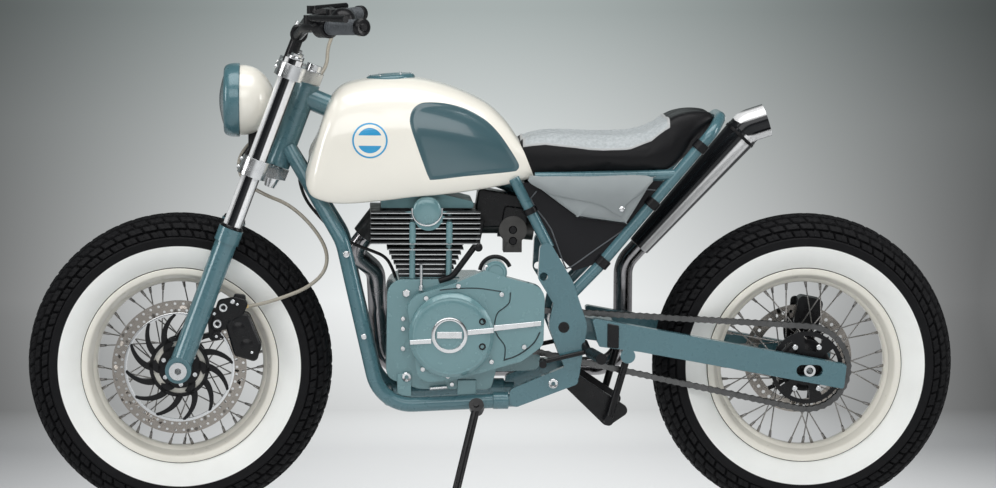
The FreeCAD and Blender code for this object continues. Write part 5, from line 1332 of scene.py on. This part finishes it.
class MOTO_OT_engine(Operator):
    """Crankcase, covers with their screws and trim, finned barrel and head, carburettor."""
    bl_idname = "moto.engine"
    bl_label = "Engine"

    def execute(self, context):
        dressed("engine_case", "cast_teal", 2.5)
        dressed("clutch_cover", "cast_teal", 3.0)
        dressed("carburettor", "dark_metal", 1.5)
        paint_node("front_sprocket", "dark_metal")
        dressed("cylinder_barrel", "fin_black", 0.6, masks={"cover": lambda p: p[:, 2] * 0 - 9})
        dressed("cylinder_head", "fin_black", 0.6, masks={"cover": head_cover})
        bands = fin_bands(676, 7, 118, 100, 0) + fin_bands(596, 6, 82, 88, 0.06)
        piece("fin_edges", bands, "silver", "chassis")
        studs = [rod([x, y, 524], [x, y, 668], 6.5, None, 1.5, 20) for x in (502, 581) for y in (-82, 82)]
        studs += [rod([x, -101, 602], [x, -101, 650], 7, None, 3, 20) for x in (502, 581)]
        piece("stud_columns", studs, "cast_teal", "chassis")
        dome = smooth_line([(31, -6), (31, 0), (29, 4), (24, 7), (14, 9), (0, 9.6)], 4)
        piece("plug_dome", [spun(dome, [533, -106, 674], -Y, 64)], "cast_teal", "chassis", angle=50)
        rim = [[533 + 32 * math.cos(a), -107.5, 674 + 32 * math.sin(a)]
               for a in np.radians(np.arange(-190, 11, 8))]
        piece("dome_ring", [tube(rim, 2.4, 12)], "silver", "chassis", angle=60)
        route = [[652, -78, 650], [640, -88, 600], [588, -92, 530], [560, -88, 520]]
        piece("oil_pipe", tube(bent_line(route, 30), 6.5, 20), "black", "chassis", angle=50)
        arch = [[680 + 33 * math.cos(a), -104, 542 + 33 * math.sin(a)]
                for a in np.radians(np.arange(20, 175, 9))]
        piece("starter_strap", [tube(arch, 4.5, 12)], "black", "chassis", angle=60)
        cap = spun([(0, 3), (16, 3), (18, 5), (21, 5), (23, 2), (23, -3), (0, -3)], [680, -119, 542], -Y, 48)
        piece("starter_cap", [cap], "cast_teal", "chassis")
        self.left_cover()
        self.inlet()
        return {"FINISHED"}

    def left_cover(self):
        """Round crowned cover with its badge ring, trim bars, plugs, grooves and screws."""
        flat_y, round_y = -126.0, -153.0
        shoulder = smooth_line([(91.4, -30), (91.4, -17), (90, -11), (86.5, -6.5), (80, -3.2), (70, -1.4),
                                (50, -0.5), (26, 0)], 5)
        dome = spun(np.concatenate([shoulder, [(0, 0), (0, -30)]]), [585, round_y, 409], -Y, 144)
        piece("cover_dome", [dome], "cast_teal", "chassis", angle=60)
        badge = np.array([580.5, round_y, 411.0])
        ring = spun([(30, -1), (30, 1), (31.5, 3), (36, 3.4), (38.5, 2), (38.8, -1)], badge, -Y, 80,
                    closed=True)
        band = slab([(554, 404), (607, 404), (607, 418), (554, 418)], round_y - 2.2, round_y + 1, 0.6)
        piece("cover_badge_ring", [ring, band], "silver", "chassis")
        bars = [slab([(496, 391), (541.5, 393), (541.5, 403), (496, 400)], round_y - 2, round_y + 10, 0.5),
                slab([(619.5, 411), (675, 416), (675, 427), (619.5, 422)], round_y - 2, round_y + 10, 0.5),
                slab([(677, 416.5), (778, 428), (778, 438), (677, 428.5)], flat_y - 3, flat_y + 2, 0.5)]
        piece("cover_trim", bars, "silver", "chassis")
        plugs = [spun([(0, 0.5), (4, 0.5), (4.4, 2.5), (7, 2.5), (7.6, 1), (7.6, -2), (0, -2)],
                      [651, round_y + 2.4, z], -Y, 24) for z in (440, 386)]
        piece("cover_plugs", plugs, "black", "chassis")
        split = [(712, 500), (710, 479), (699, 467), (685, 456), (679, 437), (679, 420), (686, 404),
                 (700, 385), (701, 366), (699, 352)]
        step = [(776, 414), (764, 392), (743, 373), (720, 360), (700, 354)]
        ridge = [(560, 505), (590, 508), (640, 509), (692, 502)]
        lines = [tube(np.insert(smooth_line(row, 5), 1, flat_y, axis=1), r, 8)
                 for row, r in ((split, 1.3), (step, 1.6), (ridge, 1.2))]
        piece("cover_grooves", lines, "groove", "chassis", angle=60)
        screws = [(600, 514), (693, 496), (531, 488), (742, 382), (578, 319), (524, 334), (672, 350)]
        case = [(482, 439), (482, 417), (482, 374), (588, 296)]
        heads = [bolt([x, flat_y - 1, z], -Y, 5.5, 5) for x, z in screws]
        heads += [bolt([x, -93, z], -Y, 5, 4) for x, z in case]
        heads += [bolt([660, -118, 552], -Y, 6, 5), nut([489, -93, 494], -Y, 9, 6),
                  rod([540, -99, 288], [578, -99, 291], 4)]
        rings = [spun([(4.5, -6), (4.5, 2), (9, 3), (10.5, 1.5), (10.5, -6)], place, -Y, 32, closed=True)
                 for place in ([490, -101, 313], [806, -117, 301])]
        piece("cover_screws", heads + rings, "silver", "chassis")

    def inlet(self):
        """Black inlet box between head and carburettor, the choke cap and the front oil line."""
        box = slab(rounded([(650, 646, 14), (700, 646, 12), (738, 664, 10), (732, 694, 8), (654, 706, 10)]),
                   -52, 16, 3)
        cap = spun([(0, 8), (6, 7), (9, 4), (9, -10), (0, -10)], [644, -96, 594], -Y, 24)
        lid = slab(rounded([(704, 652, 8), (744, 646, 8), (740, 668, 8), (708, 672, 8)]), -56, -4, 3)
        cups = [spun([(0, 3), (7, 3), (9, 1), (9, -6), (0, -6)], [720, -58, z], -Y, 28) for z in (628, 604)]
        piece("inlet_box", [box, cap, lid] + cups, "black", "chassis")
        line = [rod([521, -97, 505], [521, -97, 556], 3.2, None, 1, 16),
                rod([521, -97, 500], [521, -97, 512], 6, None, 1, 20)]
        piece("oil_line", line, "silver", "chassis")


PIPE_R, CONE_LENGTH, CONE_START_R, CONE_TAPER, TIP_R = 21, 345, 25, 13, 37


class MOTO_OT_exhaust(Operator):
    """Header pipe and megaphone with a turned tip."""
    bl_idname = "moto.exhaust"
    bl_label = "Exhaust"

    def execute(self, context):
        port, port_dir = np.array([401, 44, 604.0]), unit([-45, 8, -60])
        pipe_y = 148.3
        low = np.array([1012, pipe_y + 12, 569.0])
        line = [port + port_dir * 0.4, port + port_dir * 44, [425, 96, 522], [430, pipe_y, 430],
                [440, pipe_y, 298], [978, pipe_y + 12, 300], [978, pipe_y + 12, 531], low]
        piece("exhaust_tube", tube(bent_line(line, 62), PIPE_R, 36), "pipe", "chassis", ["exhaust_pipe"], 50)
        d = unit([260, 0, 290])
        high = low + d * CONE_LENGTH
        tip = unit([0.95, 0, 0.31])
        cone = rod(low + d * 0.4, high, CONE_START_R, CONE_START_R + CONE_TAPER, 1.5, 64)
        at = CONE_LENGTH - 10
        grown = CONE_TAPER * at / CONE_LENGTH
        band = spun([(24 + grown, at - 4), (26.5 + grown, at - 3), (26.5 + grown, at + 3),
                     (24 + grown, at + 4)], low, d, 64, closed=True)
        bend_start = high + d * 18
        bend = tube(bent_line([high - d * 6, bend_start, bend_start + tip * 44], 30), TIP_R, 64, caps=False)

        def painted_reflection(p):
            """Depth inside the painted highlight stripes, from the share of its radius that a point lies off the
            axis in side view."""
            along = (p - low) @ d
            radius = CONE_START_R + CONE_TAPER * np.clip(along / CONE_LENGTH, 0, 1)
            off = (p - low) @ np.array([d[2], 0, -d[0]]) / radius
            off_tip = (p - bend_start) @ np.array([tip[2], 0, -tip[0]]) / TIP_R
            body = 0.3 - np.abs(off - 0.43)
            mouth = np.maximum(0.27 - np.abs(off_tip + 0.66), 0.2 - np.abs(off_tip - 0.74))
            return np.where(along < CONE_LENGTH + 2, body, mouth) * 7

        # The megaphone's chrome is drawn as painted reflection: dark, with painted highlight stripes
        piece("megaphone", [cone, bend], "megaphone", "chassis", ["silencer"], 40, masks={"painted_reflection": painted_reflection})
        piece("megaphone_bands", band, "black", "chassis")
        return {"FINISHED"}


# Drive

CHAIN_PITCH = 15.875
REAR_TEETH, FRONT_TEETH = 36, 17
CHAIN_Y = -80


def chain_points():
    """Pin centres of the chain round both sprockets: two tangent runs and two arcs, evenly spaced. A point at
    normal angle n and run along it is c + r (cos n, sin n) + run (-sin n, cos n)."""
    rear_r, front_r = (CHAIN_PITCH / (2 * math.sin(math.pi / n)) for n in (REAR_TEETH, FRONT_TEETH))
    c1, c2 = np.array([745.0, 415.0]), np.array([WHEELBASE, AXLE_Z])
    span = c2 - c1
    length = np.hypot(*span)
    lift = math.asin((rear_r - front_r) / length)
    heading = math.atan2(span[1], span[0])
    low, high = heading - math.pi / 2 - lift, heading + math.pi / 2 + lift
    straight = length * math.cos(lift)
    rear_arc, front_arc = (high - low) * rear_r, (2 * math.pi - high + low) * front_r
    total = 2 * straight + rear_arc + front_arc
    count = 2 * round(total / CHAIN_PITCH / 2)
    s = np.arange(count) * total / count

    def point(c, r, n, run):
        out = np.stack([np.cos(n), np.sin(n)], -1)
        along = np.stack([-out[:, 1], out[:, 0]], -1)
        return c + out * r + along * run[:, None]

    zero = np.zeros(count)
    parts = [point(c1, front_r, zero + low, s), point(c2, rear_r, low + (s - straight) / rear_r, zero),
             point(c2, rear_r, zero + high, s - straight - rear_arc),
             point(c1, front_r, high + (s - 2 * straight - rear_arc) / front_r, zero)]
    which = np.searchsorted([straight, straight + rear_arc, 2 * straight + rear_arc], s, side="right")
    return np.choose(which[:, None], parts)


def prisms(outlines, y0, y1):
    """A prism across the bike for each closed outline of (x, z) rows, from y0 to y1."""
    n, m = outlines.shape[:2]
    rows = np.stack([np.stack([outlines[..., 0], np.broadcast_to(y, (n, m)), outlines[..., 1]], -1)
                     for y in (y0, y1)], 1)
    base = (np.arange(n) * 2 * m)[:, None, None]
    sides = (quads(2, m, wrap_v=True)[None] + base).reshape(-1, 4)
    caps = (np.stack([np.arange(m)[::-1], m + np.arange(m)])[None] + base).reshape(-1, m)
    return rows.reshape(-1, 3), [sides, caps]


class MOTO_OT_drive(Operator):
    """Roller chain of single plates, rollers and pins, and the rear sprocket's screws."""
    bl_idname = "moto.drive"
    bl_label = "Chain and sprockets"

    def execute(self, context):
        pins = chain_points()
        nxt = np.roll(pins, -1, 0)
        d = nxt - pins
        half = np.hypot(d[:, 0], d[:, 1]) / 2
        d /= (half * 2)[:, None]
        side = np.stack([-d[:, 1], d[:, 0]], -1)
        mid = (pins + nxt) / 2
        t = np.radians([-90, -45, 0, 45, 90])
        ends = [(1, 6.8 * math.cos(a), 6.8 * math.sin(a)) for a in t] + [(0, 0, 5.0)]
        ends += [(-1, -6.8 * math.cos(a), 6.8 * math.sin(a)) for a in t[::-1]] + [(0, 0, -5.0)]
        k = np.array(ends)
        u = k[None, :, 0] * half[:, None] + k[None, :, 1]
        flat = mid[:, None, :] + u[..., None] * d[:, None, :] + k[None, :, 2, None] * side[:, None, :]
        odd = (np.arange(len(pins)) % 2)[:, None]
        shapes = []
        for sign in (-1, 1):
            inner = CHAIN_Y + sign * (4.4 + 1.7 * odd)
            shapes.append(prisms(flat, inner, inner + sign * 1.6))
        a = 2 * math.pi * np.arange(8) / 8
        for r, half_width in ((4.8, 4), (2.6, 7.2)):
            ring = np.stack([pins[:, None, 0] + r * np.cos(a), pins[:, None, 1] + r * np.sin(a)], -1)
            shapes.append(prisms(ring, CHAIN_Y - half_width, CHAIN_Y + half_width))
        piece("roller_chain", shapes, "chain", "chassis", ["drive_chain"])
        paint_node("rear_sprocket", "black")
        screw = bolt(REAR + [52, -83.6, 0], -Y, 6, 5)
        piece("sprocket_screws", copies(screw, np.radians(np.arange(0, 360, 60)), REAR, Y), "silver",
              "rear_wheel")
        return {"FINISHED"}


# Hoses and small parts

class MOTO_OT_hoses(Operator):
    """Front brake hose and clutch cable along their held routes."""
    bl_idname = "moto.hoses"
    bl_label = "Hose and cable"

    def execute(self, context):
        reservoir = BAR_C + [78, 232, 16]
        hose = [reservoir + [0, 0, 6], reservoir + [-6, -40, -26], reservoir + [-18, -92, -56],
                [318, 100, 976], [296, 62, 944], [250, 44, 880], [196, 46, 846], [140, 46, 800],
                [122, 44, 762], [136, 20, 724], [184, -26, 700], [236, -44, 682], [286, -56, 638],
                [320, -62, 584], [316, -66, 538], [278, -72, 504], [222, -75, 482], [176, -75, 468],
                [136, -81, 462]]
        cable = [[247, 0, 773], [256, 0, 750], [261, -2, 716], [274, -4, 684], [300, -6, 653],
                 [334, -10, 617], [366, -14, 596], [410, -18, 580], [446, -20, 566], [462, -18, 536],
                 [467, -17, 520]]
        for name, points, r, body, node, finish in (("brake_line", hose, 4.0, "steering", "brake_hose",
                                                     "hose"), ("clutch_line", cable, 3.5, "chassis",
                                                               "control_cable", "cable")):
            curve = bpy.data.curves.new(name, "CURVE")
            curve.dimensions = "3D"
            spline = curve.splines.new("NURBS")
            spline.points.add(len(points) - 1)
            spline.points.foreach_set("co", np.c_[parked(points), np.ones(len(points))].ravel())
            spline.order_u = 3
            spline.use_endpoint_u = True
            curve.resolution_u = 12
            curve.bevel_depth = r / 1000
            curve.bevel_resolution = 5
            curve.use_fill_caps = True
            obj = bpy.data.objects.new(name, curve)
            context.scene.collection.objects.link(obj)
            curve.materials.append(material(finish))
            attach(obj, body)
            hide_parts(node)
        return {"FINISHED"}


class MOTO_OT_small_parts(Operator):
    """Foot rests, side stand and its bracket."""
    bl_idname = "moto.small_parts"
    bl_label = "Foot rests and stand"

    def execute(self, context):
        dressed("footpegs", "black", 0.8)
        dressed("side_stand", "black", 0.8)
        dressed("stand_bracket", "black", 0.8)
        return {"FINISHED"}


class MOTO_PT_panel(Panel):
    bl_label = "Motorcycle"
    bl_idname = "MOTO_PT_panel"
    bl_space_type = "VIEW_3D"
    bl_region_type = "UI"
    bl_category = "Motorcycle"

    def draw(self, context):
        layout = self.layout
        scene = context.scene
        for group, names in ((scene.moto_stage, ("floor_shade", "key_power")),
                             (scene.moto_wheel, ("tread_depth", "blocks", "wall_inner", "wall_outer",
                                                 "spokes")),
                             (scene.moto_seat, ("quilt_pitch", "quilt_depth"))):
            for name in names:
                layout.prop(group, name)
        for operator in STEPS:
            layout.operator(operator.bl_idname)


SETTINGS = (("moto_stage", StageSettings), ("moto_wheel", WheelSettings), ("moto_seat", SeatSettings))
STEPS = (MOTO_OT_stage, MOTO_OT_hoses, MOTO_OT_tyres, MOTO_OT_wheels, MOTO_OT_brakes, MOTO_OT_fork,
         MOTO_OT_bars, MOTO_OT_lamp, MOTO_OT_tank, MOTO_OT_seat, MOTO_OT_bag, MOTO_OT_frame, MOTO_OT_engine,
         MOTO_OT_exhaust, MOTO_OT_drive, MOTO_OT_small_parts)


def register():
    for name, group in SETTINGS:
        bpy.utils.register_class(group)
        setattr(bpy.types.Scene, name, PointerProperty(type=group))
    for cls in STEPS + (MOTO_PT_panel,):
        bpy.utils.register_class(cls)


def unregister():
    for cls in reversed(STEPS + (MOTO_PT_panel,)):
        bpy.utils.unregister_class(cls)
    for name, group in reversed(SETTINGS):
        delattr(bpy.types.Scene, name)
        bpy.utils.unregister_class(group)


def main():
    register()
    for step in STEPS:
        group, name = step.bl_idname.split(".")
        getattr(getattr(bpy.ops, group), name)()


if __name__ == "__main__":
    main()
